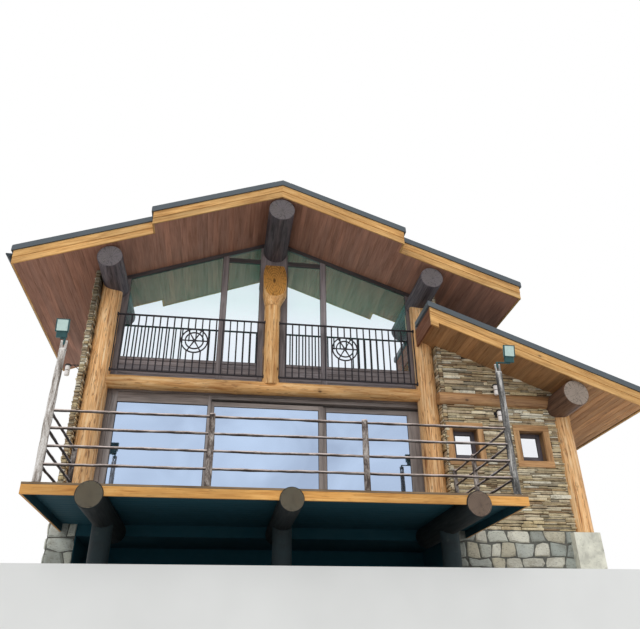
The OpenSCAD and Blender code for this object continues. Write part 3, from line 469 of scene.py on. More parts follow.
def plain(name, base, var=0.12, rough=0.6, scale=4.0, bump=0.15, metal=0.0, fine=90.0, spots=None,
          spot_amount=0.0, recess=None):
    """Painted, cast or coated surface with soft stains and fine grain, in a linear base colour.

    spots is the colour of worn spots, and recess is painted shade for what lies back under the deck.
    """
    k = Surface(name)
    c = k.coord("Object")
    stains = k.noise(c, scale, 5, 0.6, 0.4)
    grains = k.noise(c, fine, 3, 0.6)
    lo = scaled(base, 1 - var * 1.6)
    hi = tuple(min(1, v) for v in scaled(base, 1 + var))
    col = k.ramp(stains, [(0.32, lo), (0.5, base), (0.68, hi)])
    if spots:
        col = k.mix(k.step(k.noise(c, scale * 3.1, 6, 0.7), 0.58, 0.7, 0.0, spot_amount), col, spots)
    # Painted shade: inside a box under the deck the colour turns to the recess colour
    if recess:
        inside = None
        for i, test, limit in ((0, "GREATER_THAN", -4.27), (0, "LESS_THAN", 2.03), (2, "LESS_THAN", 0.88),
                               (1, "LESS_THAN", 2.0)):
            within = k.math(test, k.axis(c, i), limit)
            inside = k.math("MULTIPLY", inside, within) if inside else within
        col = k.mix(inside, col, recess)
    worn = k.step(stains, 0.3, 0.7, rough - 0.07, rough + 0.09)
    return k.finish(col, worn, k.bump(grains, bump, 0.002), metal)


# Painted shade: the dark green of what faces down or lies back under the deck, where the deck's shade falls
UNDER_SHADE = (0.009, 0.078, 0.11)
SOFFIT = wood("soffit_boards", (134, 90, 70), (166, 118, 97), (184, 132, 109), "UV", 0.55, 0.4, 0.15,
              soft=1.3)
SOFFIT_W = wood("wing_soffit_boards", (140, 96, 60), (178, 132, 88), (200, 154, 106), "UV", 0.55, 0.5, 0.15,
                soft=1.3)
PINE = wood("pine_boards", (172, 120, 62), (214, 164, 98), (234, 190, 126), knots=0.85, bump=0.2, flecks=0.3)
EDGE = wood("edge_boards", (172, 112, 48), (215, 156, 80), (232, 180, 106), knots=0.9, bump=0.2, flecks=0.3)
# Painted shade: a darker copy of the fascia pine, for boards in shade under the roofs
END_PINE = wood("shaded_boards", (90, 50, 28), (130, 78, 48), (152, 96, 62), rough=0.6, knots=0.4)
# The deck boards take painted shade on their downward faces
DECK = wood("deck_boards", (92, 76, 58), (138, 116, 90), (160, 138, 110), "UV", 0.7, 0.6, 0.4, under=UNDER_SHADE)
FLOOR = wood("floor_boards", (110, 84, 56), (150, 118, 80), (172, 138, 98), rough=0.45)
FRAME = wood("frames", (98, 90, 91), (130, 121, 122), (152, 143, 144), "UV", 0.45, 0.0, 0.15)
FRAME_L = wood("frames_lower", (112, 103, 100), (148, 138, 134), (168, 159, 154), "UV", 0.45, 0.0, 0.15)
FRAME_S = wood("frames_small", (56, 50, 54), (84, 76, 82), (104, 96, 100), "UV", 0.4, 0.0, 0.15)
CASE = wood("casing_boards", (130, 92, 54), (182, 138, 92), (204, 162, 112), knots=0.8, flecks=0.3)
LOG = peeled("peeled_logs", (150, 94, 48), (240, 184, 122), (252, 220, 172), 0.5, 0.95, 0.6, 0.6, 1, 0.22, 30)
LOG_W = peeled("honey_logs", (170, 110, 52), (222, 168, 104), (242, 204, 150), 0.45, 0.95, 0.55)
LOG_B = peeled("beam_log", (122, 82, 50), (172, 128, 86), (200, 158, 112), 0.5, 0.9, 0.4)
# Painted shade: the purlins' sides are darker copies of the peeled logs, for the shade under the roofs
LOG_D = peeled("dark_logs", (48, 42, 46), (86, 78, 84), (112, 102, 104), 0.6, 0.6, 0.3)
LOG_Q = peeled("wing_purlin_side", (58, 42, 34), (104, 76, 60), (128, 98, 78), 0.6, 0.6, 0.3)
# Painted shade: the deck logs are near black, for the shade under the deck
LOG_U = peeled("deck_logs_dark", (8, 16, 18), (20, 28, 30), (34, 38, 38), 0.7, 0.6, 0.0)
END_G = endgrain("grey_ends", (70, 64, 66), (102, 95, 98), (122, 114, 112))
END_W = endgrain("wing_purlin_end", (118, 104, 92), (150, 136, 124), (168, 154, 142))
END_D = endgrain("deck_log_ends", (62, 56, 44), (92, 86, 72), (114, 104, 86))
END_R = endgrain("red_deck_log_end", (64, 50, 42), (112, 94, 80), (144, 124, 108))
END_C = endgrain("corbel_face", (164, 108, 48), (206, 146, 70), (222, 166, 88), 0.9, 0.6, 30.0)
STONE = stone("ledgestone")
RUBBLE = stone("rubble", 0.7, 0.7, 0.7)
# Painted shade: a dark sheet for where only the shade under the deck is seen
SHADED = plain("under_deck", (0.01, 0.07, 0.098), 0.2, 0.8, 4, 0.3)
MORTAR = plain("joints", srgb(48, 39, 31), 0.3, 0.95, 6, 0.6)
# The plinth's joints and the slab take painted shade where they lie back under the deck
MORTAR_L = plain("light_joints", srgb(104, 104, 98), 0.2, 0.95, 6, 0.6, recess=UNDER_SHADE)
SLAB = plain("slab", srgb(140, 133, 122), 0.15, 0.85, 3, 0.5, recess=UNDER_SHADE)
PAD = plain("pad_stone", srgb(224, 223, 208), 0.16, 0.9, 5, 0.9, 0.0, 26, srgb(150, 148, 128), 0.6)
METAL = plain("roof_metal", srgb(88, 96, 102), 0.06, 0.42, 1.6, 0.06, 0.35)
GUTTER = plain("gutter_metal", srgb(44, 52, 58), 0.15, 0.4, 3.0, 0.05, 0.4)
COLUMN = plain("columns", srgb(42, 56, 60), 0.25, 0.7, 3.0, 0.4, 0.0, 60, srgb(78, 84, 80), 0.5)
IRON = plain("balcony_iron", srgb(46, 42, 46), 0.25, 0.5, 30, 0.3, 0.5)
BLACK = plain("lantern_black", srgb(30, 30, 32), 0.2, 0.45, 30, 0.2, 0.3)
WHITE = plain("lantern_white", srgb(236, 230, 226), 0.04, 0.35, 20, 0.05)
GASKET = plain("gaskets", srgb(34, 32, 34), 0.2, 0.6, 20, 0.1)
TEAL = plain("flood_body", srgb(84, 128, 128), 0.15, 0.4, 16, 0.1, 0.2)
TEAL_D = plain("flood_dark", srgb(44, 82, 84), 0.15, 0.45, 16, 0.1, 0.3)
GLASS_F = plain("flood_glass", srgb(190, 214, 208), 0.08, 0.15, 12, 0.02)


def patina(name, stops, wear_and_highlight, streak):
    """Forged steel: patina over worn ridges, streaked round its length.

    It has painted shade where it faces down, and a painted highlight mixed with wear, paler, where it faces
    up.
    """
    k = Surface(name)
    c = k.map(k.coord("UV"), (1, 0.28, 1))
    stops = [srgb(*tone) for tone in stops]
    streaks = k.noise(k.map(c, streak, (0, 0, 0.6)), 1.0, 5, 0.65, 0.6)
    grains = k.noise(k.map(c, (30, 90, 1)), 1.0, 4, 0.6)
    f = k.math("ADD", k.math("MULTIPLY", streaks, 0.75), k.math("MULTIPLY", grains, 0.25))
    col = k.ramp(f, list(zip((0.38, 0.46, 0.53, 0.62), stops)))
    up = k.facing_up()
    # Painted shade where the steel faces down
    col = k.mix(k.step(up, -0.45, 0.0, 0.8, 0.0), col, scaled(stops[0], 0.6))
    # Painted highlight mixed with wear where it faces up
    pale = k.math("MULTIPLY", k.step(up, 0.05, 0.45), k.step(streaks, 0.35, 0.55, 0.5, 1.0))
    col = k.mix(pale, col, srgb(*wear_and_highlight))
    return k.finish(k.tinted(col), k.step(f, 0.4, 0.65, 0.62, 0.38), k.bump(f, 0.9, 0.006), 0.15)


PATINA, SILVER, GRAPHITE = (patina(*args) for args in (
    ("forged_patina", ((44, 34, 32), (92, 80, 74), (140, 130, 124), (196, 188, 182)),
     (236, 220, 214), (5, 12, 1)),
    ("silver_patina", ((92, 80, 70), (158, 148, 140), (206, 200, 194), (240, 236, 232)),
     (244, 238, 234), (2.2, 16, 1)),
    ("graphite_patina", ((46, 45, 43), (90, 89, 87), (134, 132, 130), (204, 202, 198)),
     (222, 220, 216), (2.2, 18, 1))))


def glass(name, tint, inside, share, cloud, rise=None):
    """Coated glass: it mirrors the sky over an interior, which is dark below the heights in rise.

    That darkness is painted shade: it holds back the interior on the lower glass, where more light falls.
    """
    k = Nodes(bpy.data.materials.new(name))
    c = k.coord("Object")
    wave = k.bump(k.noise(c, 0.9, 2, 0.4), 0.05, 0.02)
    pale = tuple(min(1, v) for v in scaled(tint, 1 + cloud))
    col = k.mix(k.step(k.noise(c, 0.6, 3, 0.5, 0.6), 0.35, 0.65), scaled(tint, 1 - cloud), pale)
    mirror = k.n("BsdfGlossy", {"Color": col, "Roughness": 0.02, "Normal": wave})
    # Painted shade: less of the interior shows low on the glass
    if rise:
        share = k.step(k.axis(c, 2), *rise, 0.97, share)
    return k.shader(share, k.n("BsdfDiffuse", {"Color": inside}), mirror)


GLASS_L = glass("glass_lower", (0.51, 0.64, 0.88), (0.1, 0.11, 0.12), 0.86, 0.17)
GLASS_U = glass("glass_upper", (0.86, 0.91, 1.0), (0.015, 0.73, 0.5), 0.81, 0.03, rise=(4.95, 5.6))
GLASS_S = glass("glass_small", (0.95, 0.96, 1.0), (0.12, 0.13, 0.13), 0.92, 0.03)

for material, names in (
        (MORTAR, ("left_wall", "right_wall", "rear_wall", "wing_front_wall", "wing_side_wall")),
        (MORTAR_L, ("plinth",)), (SLAB, ("ground_floor",)), (PAD, ("post_pad",)), (COLUMN, ("deck_columns",)),
        (METAL, ("main_covering", "wing_covering")), (GUTTER, ("gutters",)), (FLOOR, ("upper_floor",)),
        (GLASS_L, ("lower_glass", "leaf_glass")), (GLASS_U, ("upper_glass",)), (GLASS_S, ("window_glass",)),
        (SOFFIT, ("main_roof", "wing_roof"))):
    for name in names:
        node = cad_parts[name]
        for slot in node.material_slots:
            slot.material = material
        if not node.material_slots:
            node.data.materials.append(material)


# Logs
def log(name, p0, p1, r0, r1, seed, side, ends, slot, knots, node, flat=None):
    """A peeled log: uneven radius, knots that stand proud, worn end edges.

    flat=(from, height) hews its top flat from that length onwards.
    """
    seg, worn, uneven = 72, 0.01, 0.011
    g = np.random.default_rng(seed)
    p0, p1 = np.asarray(p0, float), np.asarray(p1, float)
    d = p1 - p0
    ln = float(np.linalg.norm(d))
    d /= ln
    hewn = [flat[0] - 0.002, flat[0]] if flat else []
    inner = np.linspace(0.03, ln - 0.03, max(6, int(ln / 0.07)))
    zs = np.sort(np.concatenate([[0, worn], hewn, inner, [ln - worn, ln]]))
    T, Z = np.meshgrid(np.linspace(0, 2 * math.pi, seg, endpoint=False), zs)
    base = r0 + (r1 - r0) * Z / ln
    n = np.zeros_like(T)
    for k in (1, 2, 3, 4, 5, 7):
        n += g.uniform(0.4, 1) / k * np.cos(k * T + g.uniform(0, 6.3) + g.uniform(-0.9, 0.9) * Z * 1.4)
        swing = g.uniform(0.2, 0.6) / k * np.cos(k * T + g.uniform(0, 6.3))
        n += swing * np.sin(Z * g.uniform(0.8, 3.5) + g.uniform(0, 6.3))
    rad = base * (1 + uneven * n * 0.5)
    for _ in range(knots):
        t0, z0 = g.uniform(0, 6.283), g.uniform(0.15, ln - 0.15)
        w, h = g.uniform(0.035, 0.07), g.uniform(0.004, 0.011)
        dt = (T - t0 + math.pi) % (2 * math.pi) - math.pi
        rad += h * np.exp(-((dt * base) ** 2 + ((Z - z0) * 0.7) ** 2) / w ** 2)
    rad[0] = rad[1] - worn
    rad[-1] = rad[-2] - worn
    # The wood's pattern is the object's own, so each log starts at its own height in it
    start = 3.7 * seed
    V = np.stack([rad * np.cos(T), rad * np.sin(T), Z + start], -1)
    if flat:
        rows = zs >= flat[0] - 1e-6
        V[rows, :, 1] = np.minimum(V[rows, :, 1], flat[1])
    verts = V.reshape(-1, 3).tolist()
    faces = band(0, len(zs), seg)
    sides, first = len(faces), len(verts)
    verts += V[0].tolist() + V[-1].tolist()
    faces += [list(range(first, first + seg))[::-1], list(range(first + seg, first + 2 * seg))]
    me = build(name, verts, faces, (side, ends), [0] * sides + [1, 1], [True] * sides + [False] * 2)
    o = bpy.data.objects.new(name, me)
    z = Vector(d)
    ref = Vector((0, 0, 1)) if abs(z.z) < 0.9 else Vector((0, -1, 0))
    x = ref.cross(z).normalized()
    M = Matrix((x, z.cross(x), z)).transposed().to_4x4()
    M.translation = Vector(p0 + OFFSET - d * start)
    o.matrix_world = M
    return place(o, "house", slot, node)


def purlin_z(soffit, gap, r, slope):
    """Height of the axis of a log that lies under a roof's soffit."""
    return soffit - gap - r / math.cos(math.atan(slope))


STRIP = 0.035
RIDGE_LOG_Z = purlin_z(RIDGE_Z, STRIP, 0.26, SLOPE)
SIDE_L, SIDE_R, SIDE_W = -3.2, 3.18, WING_POST - 0.05
SIDE_L_Z, SIDE_R_Z = (purlin_z(main_z(x), STRIP, 0.235, SLOPE) for x in (SIDE_L, SIDE_R))
SIDE_W_Z = purlin_z(wing_z(SIDE_W), 0, 0.255, WING_SLOPE)
LINTEL_Z, BEAM_Z, DECK_LOG_Z = 2.646, 2.5, -0.15
DECK_LOGS = (-2.519, 0.1515, 2.822)
# How far the purlins' ends lie back from the verge
INSET = 0.077
PURLIN_END = BACK_Y - INSET

POST_TOP = 4.473
for seed, (name, x, y, z0, z1, r0, r1, wooden, knots, node) in enumerate((
        ("left_post", LEFT_POST, POST_Y, 0, SIDE_L_Z, 0.22, 0.21, LOG, 26, "log_posts"),
        ("right_post", RIGHT_POST, POST_Y, 0, SIDE_R_Z, 0.206, 0.199, LOG, 26, "log_posts"),
        ("wing_post", WING_POST, WING_POST_Y, -0.045, SIDE_W_Z, 0.184, 0.174, LOG, 18, "log_posts"),
        ("centre_post_log", CENTRE_POST, POST_Y, 2.7, POST_TOP, 0.169, 0.166, LOG_W, 9, "centre_post")), 1):
    log(name, (x, y, z0), (x, y, z1), r0, r1, seed, wooden, wooden, "log_wood", knots, node)
log("lintel", (LEFT_POST, POST_Y, LINTEL_Z), (RIGHT_POST, POST_Y, LINTEL_Z), 0.134, 0.131, 5, LOG_W, LOG_W,
    "log_wood", 24, "lintel_log")
log("wing_beam_log", (RIGHT_POST + 0.14, WALL_Y, BEAM_Z), (WING_POST, WALL_Y, BEAM_Z), 0.131, 0.129, 6,
    LOG_B, LOG_B, "log_wood", 10, "wing_beam")
for seed, (name, x, y, z, r0, r1, side, ends, node) in enumerate((
        ("ridge_log", RIDGE_X, GABLE_Y + 0.045, RIDGE_LOG_Z, 0.262, 0.254, LOG_D, END_G, "ridge_purlin"),
        ("left_purlin_log", SIDE_L, VERGE_Y + INSET, SIDE_L_Z, 0.236, 0.231, LOG_D, END_G, "side_purlins"),
        ("right_purlin_log", SIDE_R, VERGE_Y + INSET, SIDE_R_Z, 0.236, 0.231, LOG_D, END_G, "side_purlins"),
        ("wing_purlin_log", SIDE_W, WING_Y + INSET, SIDE_W_Z, 0.256, 0.251, LOG_Q, END_W, "wing_purlin")), 7):
    log(name, (x, y, z), (x, PURLIN_END, z), r0, r1, seed, side, ends, "purlin_wood", 12, node)
for i, (x, r, ends) in enumerate(zip(DECK_LOGS, (0.185, 0.172, 0.186), (END_D, END_D, END_R))):
    log("deck_log_%d" % i, (x, -0.02, DECK_LOG_Z), (x, WALL_Y - 0.001, DECK_LOG_Z), r, r, 11 + i, LOG_U, ends,
        "deck_log_wood", 8, "deck_logs", (0.052, 0.119))

strips = Batch()
side_y = VERGE_Y + BOARD
for x, z, y0 in ((RIDGE_X, RIDGE_LOG_Z, GABLE_Y), (SIDE_L, SIDE_L_Z, side_y), (SIDE_R, SIDE_R_Z, side_y)):
    top = main_z(x + 0.08 if x >= RIDGE_X else x - 0.08) - 0.002
    bx(strips, x - 0.08, x + 0.08, y0 + 0.205, PURLIN_END, z + 0.1, top, "y", 0.003)
strips.make("bearing_strips", [END_PINE], "purlin_wood", "ridge_purlin", "side_purlins")


def corbel():
    """The slant-sawn log: it swells from the post's head, and its face shows rings and pith."""
    seg, rows, rings = 72, 22, 14
    foot, swell = RIDGE_LOG_Z - 0.26 - 1.253, 0.33
    top = RIDGE_LOG_Z - 0.26 - 0.09
    front, lip = POST_Y - 0.25, foot + 0.07
    rise = (top - lip) / (GLASS_Y - front)
    g = np.random.default_rng(21)
    angles = np.linspace(0, 2 * math.pi, seg, endpoint=False)
    ph = g.uniform(0, 6.3, 8)

    def at(a, z):
        t = min(max((z - foot) / swell, 0), 1)
        t = t * t * (3 - 2 * t)
        r = 0.168 + 0.082 * t
        r *= 1 + 0.008 * sum(math.cos(m * a + ph[m] + z * 1.3) / m for m in range(1, 6))
        x = CENTRE_POST + (RIDGE_X - CENTRE_POST) * t
        return x + r * math.cos(a), min(POST_Y + r * math.sin(a), GLASS_Y - 0.0005)

    def cut_height(a):
        """Where the log's side at this angle meets the slanting saw cut."""
        lo, hi = foot, top + 0.2
        for _ in range(40):
            mid = (lo + hi) / 2
            if lip + (at(a, mid)[1] - front) * rise > mid:
                lo = mid
            else:
                hi = mid
        return (lo + hi) / 2
    tops = [cut_height(a) for a in angles]
    verts = []
    for i in range(rows + 1):
        for a, t in zip(angles, tops):
            z = foot + (t - foot) * i / rows
            verts.append((*at(a, z), z))
    rim = np.array(verts[rows * seg:])
    centre = np.array([RIDGE_X, POST_Y - 0.02, lip + (POST_Y - 0.02 - front) * rise])
    for i in range(rings + 1):
        for p, a in zip(rim, angles):
            x, y, z = p + (centre - p) * i / rings
            verts.append((x, y - 0.0015 * math.sin(i * 2.4 + math.sin(3 * a + 1)), z))
    sides, face = band(0, rows + 1, seg), band((rows + 1) * seg, rings + 1, seg)
    index = [0] * len(sides) + [1] * len(face)
    origin = np.array([RIDGE_X, POST_Y - 0.02, 0.0])
    verts = (np.array(verts) - origin).tolist()
    me = build("corbel_log", verts, sides + face, (LOG_W, END_C), index, [True] * len(index))
    o = bpy.data.objects.new("corbel_log", me)
    o.matrix_world = Matrix.Translation(Vector(origin + OFFSET))
    place(o, "house", "log_wood", "corbel")


corbel()


# Stone facings
X, Y, UP = np.eye(3)
CREAMS = [(226, 214, 186), (214, 198, 162), (198, 178, 142), (178, 160, 128), (164, 154, 132),
          (206, 188, 148), (232, 226, 206), (152, 128, 98), (182, 158, 118), (220, 206, 176), (190, 172, 144)]
GREYS = [(206, 208, 196), (188, 192, 184), (172, 176, 168), (216, 214, 200), (196, 190, 170), (160, 166, 160)]
# A wall's face: a point of it, the direction along it and the direction out of it
FRONT, REAR = ((0, WALL_Y, 0), X, -Y), ((0, REAR_Y, 0), -X, Y)


def facing_right(x):
    return (x, 0, 0), Y, X


def facing_left(x):
    return (x, 0, 0), -Y, -X


def on_wall(wall, u, z, out):
    """A point that lies u along a wall, z up it and out from its face."""
    org, along, away = wall
    return org + along * u + UP * z + away * out


def add_stone(b, g, verts, faces, tones, lo, hi, dim=1.0):
    """Adds a stone in one of the sRGB tones, as bright as drawn; its pattern needs no UV."""
    tint = np.array(srgb(*tones[g.integers(len(tones))])) * g.uniform(lo, hi) * dim
    b.add(verts, faces, [[(0, 0)] * len(f) for f in faces], tint)


def ledge(b, seed, wall, u0, u1, z0, z1, roof=None, holes=(), coarse=1.0, deep=1.0, dim=None):
    """Stacked ledgestone: thin courses of split stones in interlocked groups.

    roof gives the height of the soffit for an x, holes are (u0, u1, z0, z1), coarse scales the
    courses, deep scales how far the stones stand out, and dim paints shade as a brightness for a height.
    """
    g = np.random.default_rng(seed)
    cuts = sorted({z for h in holes for z in h[2:]})
    z = z0
    while z < z1 - 0.02:
        zn = z + g.uniform(0.1, 0.165) * coarse
        for c in cuts:
            if z + 0.03 < c < zn + 0.045:
                zn = c
                break
        zn = min(zn, z1)
        u = u0
        while u < u1 - 0.02:
            un = min(u1, u + g.uniform(0.4, 1.2))
            if u1 - un < 0.12:
                un = u1
            if zn - z > 0.085:
                layers = g.choice([2, 3, 4], p=[0.24, 0.46, 0.3])
            else:
                layers = g.choice([1, 2], p=[0.2, 0.8])
            w = g.uniform(0.6, 1.4, layers)
            heights = np.cumsum(np.concatenate([[0], w / w.sum()])) * (zn - z) + z
            for a, c in zip(heights[:-1], heights[1:]):
                v = u
                while v < un - 0.01:
                    vn = min(un, v + g.uniform(0.14, 0.62))
                    if un - vn < 0.07:
                        vn = un
                    spans = [(v, vn)]
                    for left, right, low, high in holes:
                        if c > low + 0.004 and a < high - 0.004:
                            parts = [s for p, q in spans for s in ((p, min(q, left)), (max(p, right), q))]
                            spans = [s for s in parts if s[1] - s[0] > 0.03]
                    for p, q in spans:
                        if roof is None or a <= roof(on_wall(wall, (p + q) / 2, 0, 0)[0]) + 0.01:
                            rock(b, g, wall, p, q, a, c, dim(a) if dim else 1.0, deep)
                    v = vn
            u = un
        z = zn


def rock(b, g, wall, p, q, a, c, dim, deep):
    """One split stone: a wavy slab that stands out of the wall and thins towards its ends."""
    n = max(2, int(round((q - p) / 0.11)))
    high = c - a
    out = g.choice([0.008, 0.018, 0.03, 0.042], p=[0.3, 0.34, 0.24, 0.12]) + g.uniform(-0.003, 0.003)
    out *= deep
    us = np.linspace(p + 0.003, q - 0.003, n + 1)
    us[1:-1] += g.uniform(-0.02, 0.02, n - 1)
    thin = 1 - g.uniform(0.08, 0.42, n + 1) * np.array([1.0] + [0.35] * (n - 1) + [1.0])
    mid = (a + c) / 2 + g.uniform(-0.12, 0.12) * high
    depth = out + g.uniform(-0.004, 0.004, n + 1)
    depth[[0, -1]] -= g.uniform(0.002, 0.007, 2)
    verts = []
    for lift, sink in ((-0.5, 0.007), (g.uniform(-0.1, 0.25), 0.0), (0.5, 0.003)):
        for u, t, d in zip(us, thin, depth):
            z = mid + lift * (high - 0.005) * t + g.uniform(-0.002, 0.002)
            verts.append(on_wall(wall, u, z, max(0.002, d - sink)))
    verts += [on_wall(wall, u, z, -0.015) for z in (a + 0.004, c - 0.004) for u in us]
    m = n + 1
    low, top = 3 * m, 4 * m
    faces = []
    for i in range(n):
        faces += [[i, i + 1, m + i + 1, m + i], [m + i, m + i + 1, 2 * m + i + 1, 2 * m + i]]
        faces += [[low + i, low + i + 1, i + 1, i], [2 * m + i, 2 * m + i + 1, top + i + 1, top + i]]
    faces += [[low, 0, m, 2 * m, top], [low + n, top + n, 2 * m + n, m + n, n]]
    add_stone(b, g, verts, faces, CREAMS, 0.78, 1.15, dim)


# Small windows: their casings, their sills on both floors, and their places in each wall
CASING, WINDOW_W, WINDOW_H = 0.12, 0.5, 0.6
SILL, UPPER_SILL = 1.29, UPPER_Z + 0.42
WING_WINDOWS = [RIGHT_X + 0.31, WING_IN - 0.38]
REAR_WINDOWS = [-0.27 * 6.24, 0.27 * 6.24, (RIGHT_X + WING_IN) / 2]
LEFT_WINDOW = (GLASS_Y + REAR_Y - WALL) / 2


def hole(c, z, sign=1):
    half = WINDOW_W / 2 + CASING
    return (sign * c - half, sign * c + half, z - CASING, z + WINDOW_H + CASING)


def eaves(z):
    """Painted shade: the front's stones darken towards the soffit, in its shade."""
    return 1 - 0.6 * min(1, max(0, (z - 3.3) / 1.0))


def stones(name, *walls):
    """One piece of ledgestone over one or more walls, each given as the arguments of ledge."""
    b = Batch()
    for args in walls:
        ledge(b, *args)
    b.make(name, [STONE], "stone_wall")


stones("wing_front_stones", (1, FRONT, RIGHT_X, WING_X, 0, 3.8, lambda x: wing_z(x) + 0.01,
                             [hole(x, SILL) for x in WING_WINDOWS], 0.84))
stones("wing_side_stones", (2, facing_right(WING_X), WALL_Y, REAR_Y, 0, 2.72, None, (), 1.0, 0.68))
stones("left_stones",
       (3, facing_left(LEFT_X), -REAR_Y, -WALL_Y, 0, 5.0, main_z,
        [hole(LEFT_WINDOW, z, -1) for z in (SILL, UPPER_SILL)], 1.0, 0.68),
       (4, FRONT, LEFT_X, LEFT_SLOT, 0, 5.05, main_z, (), 0.84, 1.0, eaves),
       (14, facing_right(LEFT_SLOT), WALL_Y, POST_Y - 0.03, 0, 5.05, main_z, (), 0.84, 1.0, eaves))
stones("rear_stones",
       (5, REAR, -RIGHT_X, -LEFT_X, 0, 6.3, main_z,
        [hole(x, z, -1) for z in (SILL, UPPER_SILL) for x in REAR_WINDOWS[:2]], 1.15, 0.62),
       (6, REAR, -WING_X, -RIGHT_X, 0, 3.7, wing_z, [hole(REAR_WINDOWS[2], SILL, -1)], 1.15, 0.62))
stones("right_wall_stones",
       (7, facing_right(RIGHT_X), WALL_Y, REAR_Y, 3.85, 5.1, main_z),
       (8, FRONT, RIGHT_SLOT, RIGHT_X, 0, 5.1, main_z),
       (15, facing_left(RIGHT_SLOT), -POST_Y + 0.03, -WALL_Y, 0, 5.1, main_z))


def rubble(b, wall, u0, u1, z0, z1, seed):
    """Rough rubble: angular stones with hewn faces, whose edges follow shared, crooked joints."""
    g = np.random.default_rng(seed)
    rows = max(2, int(round((z1 - z0) / 0.22)))
    zs = np.linspace(z0, z1, rows + 1)
    zs[1:-1] += g.uniform(-0.03, 0.03, rows - 1)
    knots = np.arange(u0 - 0.3, u1 + 0.6, 0.17)
    # The first and last joints are straight, the others crooked
    joints = [z + (0 if i in (0, rows) else 1) * g.uniform(-0.04, 0.04, len(knots)) for i, z in enumerate(zs)]

    def joint(i, u):
        return u, float(np.interp(u, knots, joints[i]))
    for i in range(rows):
        cuts = [(u0, u0)]
        while cuts[-1][0] < u1 - 0.01:
            u = cuts[-1][0] + g.uniform(0.17, 0.42)
            if u1 - u < 0.13:
                cuts.append((u1, u1))
            else:
                s = g.uniform(-0.035, 0.035)
                cuts.append((u - s, u + s))
        for (la, lb), (ra, rb) in zip(cuts[:-1], cuts[1:]):
            zm = (zs[i] + zs[i + 1]) / 2
            pts = [joint(i, la), joint(i, (la + ra) / 2), joint(i, ra), ((ra + rb) / 2, zm),
                   joint(i + 1, rb), joint(i + 1, (lb + rb) / 2), joint(i + 1, lb), ((la + lb) / 2, zm)]
            cx, cz = (sum(p[k] for p in pts) / 8 for k in (0, 1))
            outline = []
            for j, (pu, pz) in enumerate(pts):
                cut = g.uniform(0.02, 0.22) if j % 2 == 0 else g.uniform(-0.01, 0.03)
                du, dz = pu - cx, pz - cz
                f = (1 - cut) * (1 - 0.008 / math.hypot(du, dz))
                outline.append((cx + du * f, cz + dz * f))
            edge, face = g.uniform(0.006, 0.014), g.uniform(0.02, 0.036)
            tilt = g.uniform(-0.05, 0.05, 2)
            verts = [on_wall(wall, p, q, out) for out in (-0.02, edge) for p, q in outline]
            for p, q in outline:
                du, dz = (p - cx) * g.uniform(0.72, 0.86), (q - cz) * g.uniform(0.72, 0.86)
                out = max(edge, face + du * tilt[0] + dz * tilt[1] + g.uniform(-0.004, 0.002))
                verts.append(on_wall(wall, cx + du, cz + dz, out))
            verts.append(on_wall(wall, cx, cz, face))
            faces = []
            for p in range(8):
                q = (p + 1) % 8
                faces += [[p, q, 8 + q, 8 + p], [8 + p, 8 + q, 16 + q, 16 + p], [16 + p, 16 + q, 24]]
            add_stone(b, g, verts, faces, GREYS, 0.8, 1.08)


b = Batch()
for seed, (wall, u0, u1) in enumerate((
        (FRONT, RIGHT_X - 0.3, WING_X), (FRONT, LEFT_X, -HALF_BAY), (facing_left(LEFT_X), -REAR_Y, -WALL_Y),
        (facing_right(WING_X), WALL_Y, REAR_Y), (REAR, -WING_X, -LEFT_X)), 31):
    rubble(b, wall, u0, u1, GROUND, -0.005, seed)
b.make("plinth_rubble", [RUBBLE], "plinth_stone")


# Soffit boards, fascias, standing seams, gutter brackets
LAP = 0.012
WIDTH = 0.112
STEP_IN, EAVE_IN = STEP_RUN - BOARD, EAVE_RUN - BOARD
b = Batch()
w = WIDTH / math.sqrt(1 + SLOPE * SLOPE)
for side in (-1, 1):
    x = RIDGE_X
    while abs(x - RIDGE_X) < EAVE_IN - 0.02:
        xn = x + side * w
        if abs(xn - RIDGE_X) > EAVE_IN:
            xn = RIDGE_X + side * EAVE_IN
        near, far = sorted((abs(x - RIDGE_X), abs(xn - RIDGE_X)))
        y0 = (GABLE_Y if far < STEP_IN + 0.01 else VERGE_Y) + BOARD
        t = shade(0.92, 1.07, 0.03)
        run(b, main_z, x, xn, -LAP, 0.004, y0, BACK_Y - BOARD, tint=t)
        if near < STEP_IN < far - 0.01:
            run(b, main_z, x, RIDGE_X + side * STEP_IN, -LAP, 0.004, GABLE_Y + BOARD, VERGE_Y + BOARD, tint=t)
        x = xn
b.make("soffit_boarding", [SOFFIT], "soffit_wood")
b = Batch()
w = WIDTH / math.sqrt(1 + WING_SLOPE * WING_SLOPE)
x = WING_TOP_X + BOARD
while x < WING_EAVE - BOARD - 0.02:
    xn = min(x + w, WING_EAVE - BOARD)
    if xn < RIGHT_SLOT:
        y1 = POST_Y
    else:
        y1 = WALL_Y - 0.001 if x < RIGHT_X else BACK_Y - BOARD
    # Painted light: the boards brighten over their last metre towards the eave, where more light falls
    lit = 0.9 + 0.42 * min(1, max(0, (x - 5.6) / 1.0))
    run(b, wing_z, x, xn, -LAP, 0.004, WING_Y + BOARD, y1, 0.006, shade(0.9 * lit, 1.08 * lit, 0.03))
    x = xn
b.make("wing_soffit_boarding", [SOFFIT_W], "soffit_wood")

# A fascia has two boards, the upper one standing forward
DROP, SPLIT, TOP, FORWARD = -0.02, ROOF * 0.44, ROOF - 0.001, 0.014


def verge(b, fn, x0, x1, y):
    ramped(b, fn, x0, x1, DROP, SPLIT + 0.004, y, y + BOARD, tint=shade(0.94, 1.05, 0.02))
    ramped(b, fn, x0, x1, SPLIT, TOP, y - FORWARD, y + BOARD, tint=shade(0.94, 1.05, 0.02))


def rear_verge(b, fn, x0, x1):
    for lo, hi in ((DROP, SPLIT), (SPLIT, TOP)):
        ramped(b, fn, x0, x1, lo, hi, BACK_Y - BOARD, BACK_Y)


